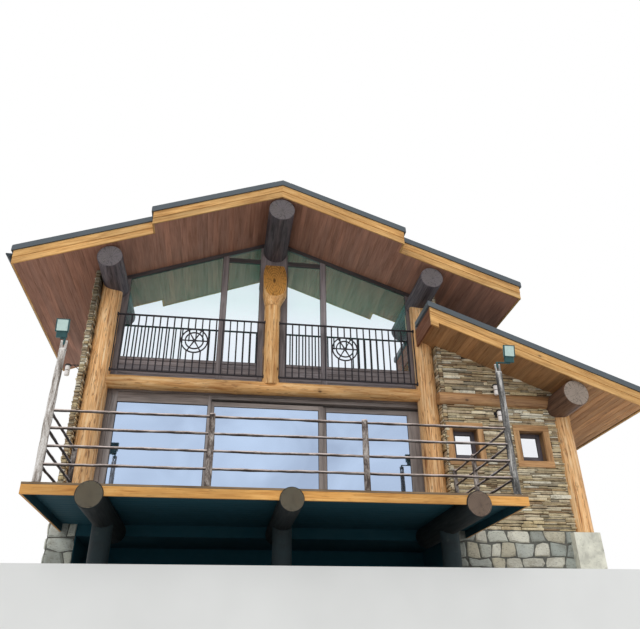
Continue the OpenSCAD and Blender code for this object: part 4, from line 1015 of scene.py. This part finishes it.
b = Batch()
verge(b, main_z, STEP_L, RIDGE_X, GABLE_Y)
verge(b, main_z, RIDGE_X, STEP_R, GABLE_Y)
verge(b, main_z, EAVE_L, STEP_L + BOARD, VERGE_Y)
verge(b, main_z, STEP_R - BOARD, EAVE_R, VERGE_Y)
for x in (STEP_L, STEP_R - BOARD):
    for lo, hi in ((DROP, SPLIT), (SPLIT, TOP)):
        run(b, main_z, x, x + BOARD, lo, hi, GABLE_Y + BOARD, VERGE_Y + BOARD, tint=shade(0.9, 1.0))
for x in (EAVE_L, EAVE_R - BOARD):
    for y0, y1 in ((VERGE_Y + BOARD, 4.2), (4.2, BACK_Y - BOARD)):
        run(b, main_z, x, x + BOARD, DROP, TOP, y0, y1, tint=shade(0.9, 1.0))
rear_verge(b, main_z, EAVE_L, RIDGE_X)
rear_verge(b, main_z, RIDGE_X, EAVE_R)
b.make("main_fascia_boards", [PINE], "fascia_wood", "main_fascia")
b = Batch()
verge(b, wing_z, WING_TOP_X, WING_EAVE, WING_Y)
ramped(b, wing_z, WING_TOP_X, WING_TOP_X + 0.15, -0.12, -0.018, WING_Y - FORWARD, WING_Y + BOARD)
for lo, hi in ((-0.12, 0.08), (0.08, ROOF)):
    run(b, wing_z, WING_TOP_X, WING_TOP_X + BOARD, lo, hi, WING_Y + BOARD, POST_Y, mat=1)
run(b, wing_z, WING_EAVE - BOARD, WING_EAVE, DROP, ROOF, WING_Y + BOARD, BACK_Y - BOARD)
rear_verge(b, wing_z, RIGHT_X + 0.001, WING_EAVE)
run(b, wing_z, RIGHT_X - 0.018, RIGHT_X, DROP, ROOF, REAR_Y + 0.05, BACK_Y)
b.make("wing_fascia_boards", [PINE, END_PINE], "fascia_wood", "wing_fascia")


def seam(b, fn, x0, x1, y):
    """A standing seam down a roof, over the edge of its covering."""
    ramped(b, fn, x0, x1, ROOF + COVER - 0.003, ROOF + COVER + 0.026, y - 0.011, y + 0.011)


b = Batch()
CAP, EDGE_OUT, SEAMS = 0.155, 0.038, 10
for i in range(SEAMS + 1):
    y = VERGE_Y - 0.02 + i * (BACK_Y + 0.02 - VERGE_Y + 0.02) / SEAMS
    seam(b, main_z, RIDGE_X - CAP, EAVE_L - EDGE_OUT, y)
    seam(b, main_z, RIDGE_X + CAP, EAVE_R + EDGE_OUT, y)
seam(b, main_z, RIDGE_X - CAP, STEP_L - EDGE_OUT, GABLE_Y - 0.023)
seam(b, main_z, RIDGE_X + CAP, STEP_R + EDGE_OUT, GABLE_Y - 0.023)
for i in range(SEAMS + 1):
    y = WING_Y - 0.02 + i * (BACK_Y + 0.02 - WING_Y + 0.02) / SEAMS
    seam(b, wing_z, WING_TOP_X - 0.03 if y < WALL_Y - 0.02 else RIGHT_X + 0.002, WING_EAVE + EDGE_OUT, y)
b.make("standing_seams", [METAL], "roof_metal")

b = Batch()
RADIUS, HALF_WIDTH = 0.0615, np.array([0, 0.0125, 0])
bends = np.linspace(math.pi, 2 * math.pi, 11)
for fn, x, out, y0 in ((main_z, EAVE_L, -1, VERGE_Y), (wing_z, WING_EAVE, 1, WING_Y)):
    cx, cz = x + out * 0.067, fn(x) + ROOF - 0.06
    for i in range(7):
        y = y0 + 0.12 + i * (BACK_Y - y0 - 0.24) / 6
        pts = np.array([(cx + RADIUS * math.cos(a), y, cz + RADIUS * math.sin(a)) for a in bends])
        for p, q in zip(pts[:-1], pts[1:]):
            n = np.array([(p[0] + q[0]) / 2 - cx, 0, (p[2] + q[2]) / 2 - cz])
            n = n / np.linalg.norm(n) * -0.004
            ends = [(e - HALF_WIDTH, e + HALF_WIDTH, e + HALF_WIDTH + n, e - HALF_WIDTH + n) for e in (p, q)]
            beam(b, *ends, 0.0008, EVEN)
b.make("gutter_brackets", [GUTTER], "gutter_metal")

# Deck
DECK_L, DECK_R, BOARDS, BOARD_TOP, EDGE_LOW = -HALF_BAY - 0.272, HALF_BAY + 0.464, 18, -0.03, -0.16
DECK_BACK = WALL_Y - 0.001
b = Batch()
pitch = DECK_BACK / BOARDS
for i in range(BOARDS):
    cut = DECK_L + (DECK_R - DECK_L) * rng.choice([0.36, 0.62])
    for x0, x1 in ((DECK_L, cut), (cut, DECK_R)):
        bx(b, x0, x1, i * pitch, (i + 1) * pitch - 0.006, BOARD_TOP, 0, c=0.003, tint=shade(0.85, 1.12, 0.04))
b.make("decking", [DECK], "deck_wood", "deck_boards")
b = Batch()
joints = (DECK_L, *DECK_LOGS, DECK_R)
for x0, x1 in zip(joints[:-1], joints[1:]):
    bx(b, x0 + 0.001, x1 - 0.001, 0, BOARD, EDGE_LOW, BOARD_TOP, c=0.003, tint=shade(0.95, 1.06, 0.02))
for x in (DECK_L, DECK_R - BOARD):
    bx(b, x, x + BOARD, BOARD, DECK_BACK, EDGE_LOW, BOARD_TOP, "y", 0.003, shade(0.85, 0.95))
# The edge boards' backs are lined with a thin sheet of painted shade, the dark under the deck
LINING, low, high = 0.004, EDGE_LOW + 0.002, BOARD_TOP - 0.002
bx(b, DECK_L + BOARD, DECK_R - BOARD, BOARD, BOARD + LINING, low, high, c=0.001, mat=1)
for x in (DECK_L + BOARD, DECK_R - BOARD - LINING):
    bx(b, x, x + LINING, BOARD + LINING, DECK_BACK, low, high, "y", 0.001, mat=1)
b.make("deck_edge_boards", [EDGE, SHADED], "deck_edge_wood", "deck_edge")


# Glazing
def gasket(b, x0, x1, z0, z1, y, w=0.009, z2=None):
    """The dark gasket round a pane, in front of the glass; its head may slope from z1 to z2."""
    z2 = z1 if z2 is None else z2
    bx(b, x0, x1, y, y + 0.012, z0, z0 + w, "x", 0.001, EVEN, 1)
    ramped(b, lambda x: z1 if x == x0 else z2, x0, x1, -w, 0, y, y + 0.012, 0.001, EVEN, 1)
    for a, c, e in ((x0, x0 + w, z1), (x1 - w, x1, z2)):
        bx(b, a, c, y, y + 0.012, z0, e - w, "z", 0.001, EVEN, 1)


# Lower frame: its height, its back, the leaf's track between both stiles, and the fixed pane
HEAD, BACK, PANE_LOW = 2.51, GLASS_Y + 0.16, 0.15
STILE_L, STILE_R, PANE_L, PANE_R, PANE_HEAD = -1.11, 3.06, -2.87, -1.168, 2.315
b = Batch()
boards(b, GLASS_Y, BACK, ((-HALF_BAY, -2.99, 0, HEAD, "z"),))
boards(b, GLASS_Y - 0.012, BACK, ((-2.987, PANE_L, 0, HEAD, "z"),), 0.006)
boards(b, GLASS_Y, BACK, ((PANE_L, PANE_R, PANE_HEAD, HEAD, "x"), (PANE_L, PANE_R, 0, PANE_LOW, "x")), 0.005)
boards(b, GLASS_Y, BACK, ((PANE_R, STILE_L, 0, HEAD, "z"), (STILE_L, STILE_R, 2.44, HEAD, "x"),
                          (STILE_L, STILE_R, 0, 0.04, "x"), (STILE_R, HALF_BAY, 0, HEAD, "z")))
# Painted shade: a dark board at the back of the head, for the shadow in the recess over the leaf
bx(b, STILE_L, STILE_R, GLASS_Y + 0.13, BACK, 2.385, 2.44, "x", 0.003, (0.35, 0.35, 0.35))
gasket(b, PANE_L, PANE_R, PANE_LOW, PANE_HEAD, GLASS_Y + 0.008)
bx(b, -HALF_BAY, HALF_BAY, GLASS_Y - 0.008, GLASS_Y, 2.512, 2.64, "x", 0.002, (0.85, 0.85, 0.85))
b.make("lower_frame_members", [FRAME_L, GASKET], "frame_wood", "lower_frame")


def sash(b, x0, x1, y, left, right, bottom):
    """A glazed sash whose stiles are left and right wide."""
    rail, top = 2.3, 2.39
    a, c = x0 + left, x1 - right
    boards(b, y, y + 0.045, ((x0, a, bottom, top, "z"), (c, x1, bottom, top, "z"), (a, c, rail, top, "x"),
                             (a, c, bottom, PANE_LOW, "x")))
    gasket(b, a, c, PANE_LOW, rail, y + 0.002)


b = Batch()
sash(b, 1.058, STILE_R, 3.097, 0.09, 0.252, 0.04)
b.make("fixed_sash", [FRAME_L, GASKET], "frame_wood", "right_sash")
# The leaf: its sash, its two runners, its handle and the handle's two feet
b = Batch()
sash(b, -1.104, 1.078, 3.032, 0.052, 0.09, 0.05)
for x in (-1.014, 0.898):
    bx(b, x, x + 0.09, 3.044, 3.065, 0.0403, 0.052, "x", 0.002, EVEN, 1)
bx(b, -1.086, -1.07, 3.004, 3.014, 1.0, 1.26, "z", 0.003, EVEN, 1)
for z in (1.02, 1.22):
    bx(b, -1.084, -1.072, 3.01, 3.034, z, z + 0.02, "y", 0.002, EVEN, 1)
b.make("leaf_members", [FRAME_L, GASKET], "frame_wood", "sliding_leaf", body="leaf")

# Upper frame: its stiles, head, transoms, and under each pane a sill over four boards
BACK, HEAD_LOW, TRANSOM, SILL_TOP = GLASS_Y + 0.08, -0.113, 5.65, 3.25
stiles = ((-HALF_BAY, -2.95), (-1.075, -0.955), (-0.265, -0.02), (-0.02, 0.33), (1.055, 1.175),
          (2.95, HALF_BAY))
panes = ((-2.95, -1.075), (-0.955, -0.265), (0.33, 1.055), (1.175, 2.95))
b = Batch()
for i, (x0, x1) in enumerate(stiles):
    y0 = GLASS_Y - (0.006 if i in (1, 4) else 0)
    foot = [(x0, y0, UPPER_Z), (x1, y0, UPPER_Z), (x1, BACK, UPPER_Z), (x0, BACK, UPPER_Z)]
    head = [(x, y, main_z(x) - 0.02) for x, y, z in foot]
    beam(b, foot, head, tint=shade(0.9, 1.06))
# Painted shade: the head under the soffit is tinted dark
for x0, x1 in ((-HALF_BAY, RIDGE_X), (RIDGE_X, HALF_BAY)):
    ramped(b, main_z, x0, x1, HEAD_LOW, -0.013, GLASS_Y - 0.008, BACK, 0.004, shade(0.32, 0.36, 0.0))
# Painted shade: the transoms are tinted dark as well
for x0, x1 in panes[1:3]:
    bx(b, x0, x1, GLASS_Y + 0.002, BACK, TRANSOM, 5.76, tint=shade(0.36, 0.42, 0.0))
for x0, x1 in panes:
    bx(b, x0, x1, GLASS_Y - 0.004, BACK, 3.195, SILL_TOP, c=0.005)
    for i in range(4):
        z = 2.795 + i * 0.1
        bx(b, x0, x1, GLASS_Y + 0.012, BACK, z, z + 0.098, c=0.005, tint=shade(0.86, 1.08))
    bx(b, x0, x1, GLASS_Y, BACK, UPPER_Z, 2.793)
    z1, z2 = (TRANSOM, TRANSOM) if x1 - x0 < 1 else (main_z(x0) + HEAD_LOW, main_z(x1) + HEAD_LOW)
    gasket(b, x0, x1, SILL_TOP, z1, GLASS_Y + 0.006, 0.007, z2)
b.make("upper_frame_members", [FRAME, GASKET], "frame_wood", "upper_frame")

# Small windows, drawn round x=0 with y going into the wall, and turned to their places
spots = [(lambda p, a=a: (p[0] + a, p[1] + WALL_Y, p[2]), SILL) for a in WING_WINDOWS]
for i, a in enumerate(REAR_WINDOWS):
    for z in (SILL, UPPER_SILL)[:1 if i == 2 else 2]:
        spots.append((lambda p, a=a: (a - p[0], REAR_Y - p[1], p[2]), z))
spots += [(lambda p: (LEFT_X + p[1], LEFT_WINDOW - p[0], p[2]), z) for z in (SILL, UPPER_SILL)]
frames, casings = Batch(), Batch()
HALF, REVEAL, FRAME_W, RAIL_W, SEAL = WINDOW_W / 2, 0.012, 0.085, 0.115, 0.01
for turn, z in spots:
    top, out = z + WINDOW_H, HALF + CASING
    x, low, high = HALF - FRAME_W, z + RAIL_W, top - FRAME_W
    boards(frames, 0.14, 0.21, ((-HALF, -x, z, top, "z"), (x, HALF, z, top, "z"), (-x, x, z, low, "x"),
                                (-x, x, high, top, "x")), 0.006, turn=turn)
    boards(frames, 0.148, 0.162, ((-x, -x + SEAL, low, high, "z"), (x - SEAL, x, low, high, "z"),
                                  (-x, x, low, low + SEAL, "x"), (-x, x, high - SEAL, high, "x")),
           0.001, EVEN, 1, turn)
    boards(casings, -0.03, 0.004, ((-out, -HALF, z, top, "z"), (HALF, out, z, top, "z")), turn=turn)
    boards(casings, -0.032, 0.004, ((-out, out, top, top + CASING, "x"), (-out, out, z - CASING, z, "x")),
           turn=turn)
    # Painted shade: the reveals are tinted dark, for the shade inside each opening
    boards(casings, 0.0, 0.14, ((-HALF, -HALF + REVEAL, z, top, "z"), (HALF - REVEAL, HALF, z, top, "z"),
                                (-HALF, HALF, z, z + REVEAL, "x"), (-HALF, HALF, top - REVEAL, top, "x")),
           0.001, lambda: shade(0.5, 0.6), turn=turn)
frames.make("small_window_frames", [FRAME_S, GASKET], "frame_wood", "window_frames")
casings.make("small_window_casings", [CASE], "casing_wood", "window_casings")


# Balcony railings
def half_chord(d, y):
    """Half the width that a post of diameter d has at a depth y."""
    return math.sqrt(d * d / 4 - (POST_Y - y) ** 2)


RAIL_Y, RAIL_Z, RAIL_H, BAR, PITCH = POST_Y - 0.07, 2.51 + 0.136 + 0.133 + 0.087, 1.207, 0.013, 0.14
RING, RING_W = 0.27, 0.024
bays = ((LEFT_POST + half_chord(0.434, RAIL_Y), CENTRE_POST - half_chord(0.336, RAIL_Y), 0.525),
        (CENTRE_POST + half_chord(0.336, RAIL_Y), RIGHT_POST - half_chord(0.408, RAIL_Y), 0.477))
b, ornaments = Batch(), Batch()
for xa, xb, share in bays:
    ox, oz, top = xa + share * (xb - xa), RAIL_Z + 0.583 * RAIL_H, RAIL_Z + RAIL_H
    for z, front, back, c in ((top, 0.02, 0.016, 0.005), (RAIL_Z, 0.012, 0.012, 0.003)):
        bx(b, xa - 0.075, xb + 0.075, RAIL_Y - front, RAIL_Y + back, z - 0.015, z + 0.015, "x", c, EVEN)
    n = math.ceil((xb - xa) / PITCH)
    for i in range(n + 1):
        x = xa + i * (xb - xa) / n
        spans = [(RAIL_Z, top)]
        if abs(x - ox) < RING - 0.012:
            chord = math.sqrt((RING - 0.012) ** 2 - (x - ox) ** 2)
            spans = [(RAIL_Z, oz - chord), (oz + chord, top)]
        for a, c in spans:
            if c - a > 0.02:
                bx(b, x - BAR, x + BAR, RAIL_Y - 0.009, RAIL_Y + 0.009, a, c, "z", 0.002, EVEN)
    for r in (RING, 0.7 * RING):
        ring(ornaments, (ox, oz), r - RING_W, r, RAIL_Y - 0.01, RAIL_Y + 0.01)
    # The six-armed star: each arm is a tapering bar and a short bar beyond the inner ring
    centre, thick = np.array([ox, RAIL_Y, oz]), np.array([0, 0.009, 0])
    for a in np.radians(60 * np.arange(6)):
        ca, sa = math.cos(a), math.sin(a)
        out, side = np.array([ca, 0, sa]), np.array([-sa, 0, ca])
        for bar in (((0.02, 0.015), (0.175, 0.009)), ((0.185, 0.012), (0.252, 0.012))):
            ends = []
            for r, half in bar:
                p, w = centre + out * r, side * half
                ends.append([p + w - thick, p + w + thick, p - w + thick, p - w - thick])
            beam(ornaments, *ends, 0.002, EVEN)
    ring(ornaments, (ox, oz), 0.008, 0.03, RAIL_Y - 0.014, RAIL_Y + 0.012, 20)
    for x0, x1 in ((xa - 0.05, xa + 0.012), (xb - 0.012, xb + 0.05)):
        for z in (RAIL_Z, top):
            bx(b, x0, x1, RAIL_Y - 0.024, RAIL_Y + 0.02, z - 0.035, z + 0.035, "x", 0.004, EVEN)
b.make("balcony_railing", [IRON], "balcony_iron", "balcony_rails")
o = ornaments.make("balcony_ornaments", [IRON], "balcony_iron", "balcony_rails")
o.visible_glossy = False


# Deck railing
def branch(b, p0, p1, seed):
    """A forged rail hammered like a peeled branch."""
    g = np.random.default_rng(seed)
    p0, p1 = np.asarray(p0, float), np.asarray(p1, float)
    ln = np.linalg.norm(p1 - p0)
    t = np.linspace(0, 1, max(4, int(ln / 0.035)) + 1)
    side = np.cross(p1 - p0, UP)
    side = side / max(np.linalg.norm(side), 1e-9)
    env = np.sin(np.pi * t)
    path = p0 + (p1 - p0) * t[:, None]
    path = path + side * (0.003 * env * np.sin(t * ln * 5 + g.uniform(0, 6)))[:, None]
    path[:, 2] += 0.003 * env * np.sin(t * ln * 4 + g.uniform(0, 6))
    ph = g.uniform(0, 6.3, 6)

    def radius(th, i):
        z = t[i] * ln
        v = 1 + 0.07 * np.sin(7 * z + ph[0]) + 0.07 * np.cos(2 * th + 9 * z + ph[1])
        v = v + 0.05 * np.cos(3 * th - 13 * z + ph[2]) + 0.05 * np.sin(23 * z + ph[3] + th)
        return 0.02 * v
    tube(b, path, radius, 12, shade(0.85, 1.1, 0.04))


def bark_post(b, x, y, h, r, seed, tint=None, mat=0):
    """A forged post with a bark-like, slowly twisting face, on a bolted foot."""
    ph = np.random.default_rng(seed).uniform(0, 6.3, 8)
    n = int(h / 0.022) + 1
    zs = np.linspace(0.006, h, n)

    def radius(th, i):
        z = zs[i]
        v = 1 + 0.09 * np.cos(3 * th + 2.2 * z + ph[0]) + 0.07 * np.cos(5 * th - 3.1 * z + ph[1])
        v = v + 0.04 * np.cos(9 * th + 7 * z + ph[2]) + 0.035 * np.sin(17 * z + 2 * th + ph[3])
        return r * v * (1.06 - 0.12 * z / h)
    tube(b, np.stack([np.full(n, x), np.full(n, y), zs], -1), radius, 22, tint or shade(0.75, 0.9, 0.03), mat)
    grey = (0.8, 0.8, 0.8)
    bx(b, x - 0.065, x + 0.065, y - 0.065, y + 0.065, 0, 0.008, "z", 0.002, grey)
    for sx, sy in ((-1, -1), (-1, 1), (1, -1), (1, 1)):
        tube(b, [(x + sx * 0.05, y + sy * 0.05, z) for z in (0.008, 0.018)], 0.008, 6, grey)


FRONT_Y, FRONT_L, FRONT_R, POST_L_Y, POST_R_Y = 0.12, DECK_L + 0.147, DECK_R - 0.102, 2.0, 1.6
heights = [0.268 + i * (1.03 - 0.268) / 3 for i in range(4)]
middle = [FRONT_L + i * (FRONT_R - FRONT_L) / 3 for i in (1, 2)]
b = Batch()
xs = [FRONT_L, *middle, FRONT_R]
for j, z in enumerate(heights):
    for i in range(3):
        branch(b, (xs[i] + 0.02, FRONT_Y, z), (xs[i + 1] - 0.02, FRONT_Y, z), 100 + 10 * j + i)
for i, x in enumerate(middle):
    bark_post(b, x, FRONT_Y, 1.075, 0.044, 140 + i)
b.make("front_railing", [PATINA], "rail_steel", "deck_front_rail", smooth=True)
b = Batch()
for j, z in enumerate(heights):
    branch(b, (FRONT_L, FRONT_Y + 0.03, z), (FRONT_L, POST_L_Y, z), 200 + j)
    branch(b, (FRONT_R, FRONT_Y + 0.03, z), (FRONT_R, POST_R_Y, z), 210 + j)
    branch(b, (FRONT_R, POST_R_Y, z), (FRONT_R, WALL_Y - 0.005, z), 220 + j)
bark_post(b, FRONT_L, POST_L_Y, 1.07, 0.04, 231)
bark_post(b, FRONT_R, POST_R_Y, 1.07, 0.04, 232)
bark_post(b, FRONT_R, WALL_Y - 0.045, 1.07, 0.038, 233)
b.make("side_railing", [PATINA], "rail_steel", "deck_side_rails", smooth=True)
# The lamp posts end in a fork of two short horns
b = Batch()
t = np.linspace(0, 1, 8)
for i, x in enumerate((FRONT_L, FRONT_R)):
    bark_post(b, x, FRONT_Y, 1.98, 0.051, 240 + i, EVEN, i)
    for side in (-1, 1):
        path = np.stack([x + side * (0.022 + 0.012 * t), np.full(8, FRONT_Y), 1.95 + 0.165 * t], -1)
        tube(b, path, lambda th, k: 0.021 * (1.15 - 0.35 * t[k]) * (1 + 0.08 * np.cos(3 * th)), 10, EVEN, i)
b.make("lamp_standards", [SILVER, GRAPHITE], "rail_steel", "lamp_posts", smooth=True)

# Floodlights, drawn upright round their own foot and tilted forward: body, base, glass, rim and fins
fins = [0.11 + i * 0.025 for i in range(7)]
b = Batch()
for x, side in ((FRONT_L, -0.054), (FRONT_R, 0.218)):
    foot = Matrix.Translation((x + side, FRONT_Y - 0.035, 2.11 + 0.0461))
    tilt = foot @ Matrix.Rotation(math.radians(12), 4, "X")
    for x0, x1, y0, y1, z0, z1, axis, c, mat in (
            (-0.093, 0.093, 0.004, 0.05, 0.085, 0.283, "z", 0.008, 0),
            (-0.078, 0.078, 0.008, 0.068, 0.0, 0.085, "z", 0.012, 1),
            (-0.08, 0.08, 0.0, 0.008, 0.1, 0.27, "z", 0.004, 2),
            (-0.095, 0.095, -0.002, 0.012, 0.085, 0.1, "x", 0.003, 1),
            (-0.095, 0.095, -0.002, 0.012, 0.27, 0.285, "x", 0.003, 1),
            (-0.095, -0.08, -0.002, 0.012, 0.085, 0.285, "z", 0.003, 1),
            (0.08, 0.095, -0.002, 0.012, 0.085, 0.285, "z", 0.003, 1),
            *((-0.085, 0.085, 0.05, 0.068, z, z + 0.004, "x", 0.001, 1) for z in fins)):
        bx(b, x0, x1, y0, y1, z0, z1, axis, c, EVEN, mat, lambda p: tilt @ Vector(p))
    bx(b, x - 0.015, x + 0.015, FRONT_Y - 0.015, FRONT_Y + 0.015, 2.05, 2.155, "z", 0.004, EVEN, 1)
    x0, x1 = sorted((x, x + side))
    bx(b, x0 - 0.012, x1 + 0.012, FRONT_Y - 0.014, FRONT_Y + 0.014, 2.14, 2.16, "x", 0.004, EVEN, 1)
b.make("floodlight_heads", [TEAL, TEAL_D, GLASS_F], "floodlight_metal", "floodlights")


# Wall lanterns
def lathe(b, profile, place_point, seg=28):
    """A round piece turned about an upright axis, from its profile of radii and heights."""
    verts = []
    for r, h in profile:
        for k in range(seg):
            a = 2 * math.pi * k / seg
            verts.append(place_point((r * math.cos(a), r * math.sin(a), h)))
    rows = len(profile)
    faces = band(0, rows, seg) + [list(range(seg))[::-1], list(range((rows - 1) * seg, rows * seg))]
    uvs = [[(k / seg, i)] * 4 for i in range(rows - 1) for k in range(seg)] + [[(0, 0)] * seg] * 2
    b.add_closed(verts, faces, uvs, EVEN, 0)


LANTERN_X = (WING_WINDOWS[0] + WING_WINDOWS[1]) / 2
mounts, shades = Batch(), Batch()
for turn, z, reach in (
        (lambda p: (LANTERN_X + p[0], WALL_Y + p[1], p[2]), 2.75, 0.195),
        (lambda p: (LANTERN_X + p[0], WALL_Y + p[1], p[2]), 2.21, 0.195),
        (lambda p: (LEFT_X + p[1], WALL_Y + 0.17 - p[0], p[2]), 2.88, 0.24)):
    def hang(p):
        return turn((p[0], -reach + p[1], z + p[2]))
    lathe(shades, [(0.03, -0.2), (0.04, -0.196), (0.0445, -0.18), (0.045, -0.112), (0.04, -0.106)], hang)
    lathe(shades, [(0.04, -0.094), (0.045, -0.088), (0.0445, -0.02), (0.04, -0.002)], hang)
    lathe(mounts, [(0.034, -0.108), (0.034, -0.092)], hang)
    lathe(mounts, [(0.045, -0.004), (0.06, 0), (0.06, 0.006), (0.052, 0.022), (0.03, 0.034), (0.008, 0.04)],
          hang)
    for path, r in ((((-0.02, 0.012), (-0.08, 0.02), (-0.14, 0.02), (0.005 - reach, 0.014)), 0.009),
                    (((-0.02, -0.07), (-0.07, -0.045), (-0.11, -0.005), (-0.13, 0.012)), 0.006)):
        tube(mounts, [turn((0, y, z + h)) for y, h in path], r)
    bx(mounts, -0.033, 0.033, -0.018, -0.001, z - 0.108, z + 0.038, "z", 0.006, EVEN, turn=turn)
mounts.make("lantern_mounts", [BLACK], "lantern_metal", "wall_lanterns")
shades.make("lantern_shades", [WHITE], "lantern_glass", "lantern_glass")


# Stage, light and camera
scene = bpy.context.scene


def stand(name, data):
    o = bpy.data.objects.new(name, data)
    scene.collection.objects.link(o)
    return o


def pale(name, dark, light):
    """A pale surface for the stage, clouded between two tones."""
    k = Surface(name)
    k.finish(k.ramp(k.noise(k.coord("Object"), 0.6, 3), [(0.3, dark), (0.7, light)]), 0.9)
    return k


def stage_plane(name, corners, material):
    stand(name, build(name, corners, [[0, 1, 2, 3]], [material], [0], [False]))


# The floor is seen from above only, and the front face stands in for the ground under the deck
FAR, FACE_Y = 60, -2.6
k = pale("floor_pale", (0.8, 0.8, 0.79), (0.84, 0.84, 0.83))
k.shader(k.n("NewGeometry").outputs["Backfacing"], k.bsdf, k.n("BsdfTransparent"))
stage_plane("floor", [(-FAR, -FAR, 0), (FAR, -FAR, 0), (FAR, FAR, 0), (-FAR, FAR, 0)], k.owner)
k = pale("floor_front", (0.74, 0.74, 0.72), (0.8, 0.8, 0.78))
corners = [(-FAR, FACE_Y, -4), (FAR, FACE_Y, -4), (FAR, FACE_Y, -0.002), (-FAR, FACE_Y, -0.002)]
stage_plane("floor_front", corners, k.owner)

# The sky is dimmer as a light than as a background or a reflection
k = Nodes(bpy.data.worlds.new("studio"), "OutputWorld")
scene.world = k.owner
ray = k.n("LightPath").outputs
seen = k.math("MAXIMUM", ray["Is Camera Ray"], ray["Is Glossy Ray"])
seen = k.math("MAXIMUM", seen, ray["Is Transmission Ray"])
k.shader(seen, k.n("Background", {0: (0.97, 0.985, 1.0), 1: 0.75}), k.n("Background", {0: EVEN, 1: 1.0}))

sun = bpy.data.lights.new("key", "SUN")
sun.energy = 0.9
sun.angle = math.radians(40)
key = stand("key", sun)
key.visible_glossy = False
key.rotation_euler = Vector((0.35, 1.0, -0.75)).to_track_quat("-Z", "Y").to_euler()

# The camera's place and turn come from the fit to the photo's deck, rail and roof lines
EYE = (-1.9436, -12.121, -1.3024)
yaw, pitch, roll = (math.radians(a) for a in (8.884, 29.132, -0.717))
ahead = Vector((math.sin(yaw) * math.cos(pitch), math.cos(yaw) * math.cos(pitch), math.sin(pitch)))
right = Vector((math.cos(yaw), -math.sin(yaw), 0))
up = right.cross(ahead)
turned = (right * math.cos(roll) + up * math.sin(roll), -right * math.sin(roll) + up * math.cos(roll), -ahead)
lens = bpy.data.cameras.new("camera")
lens.sensor_width = 36
lens.lens = 36.03
camera = stand("camera", lens)
M = Matrix(turned).transposed().to_4x4()
M.translation = Vector(EYE)
camera.matrix_world = M
scene.camera = camera
scene.view_settings.view_transform = "Standard"
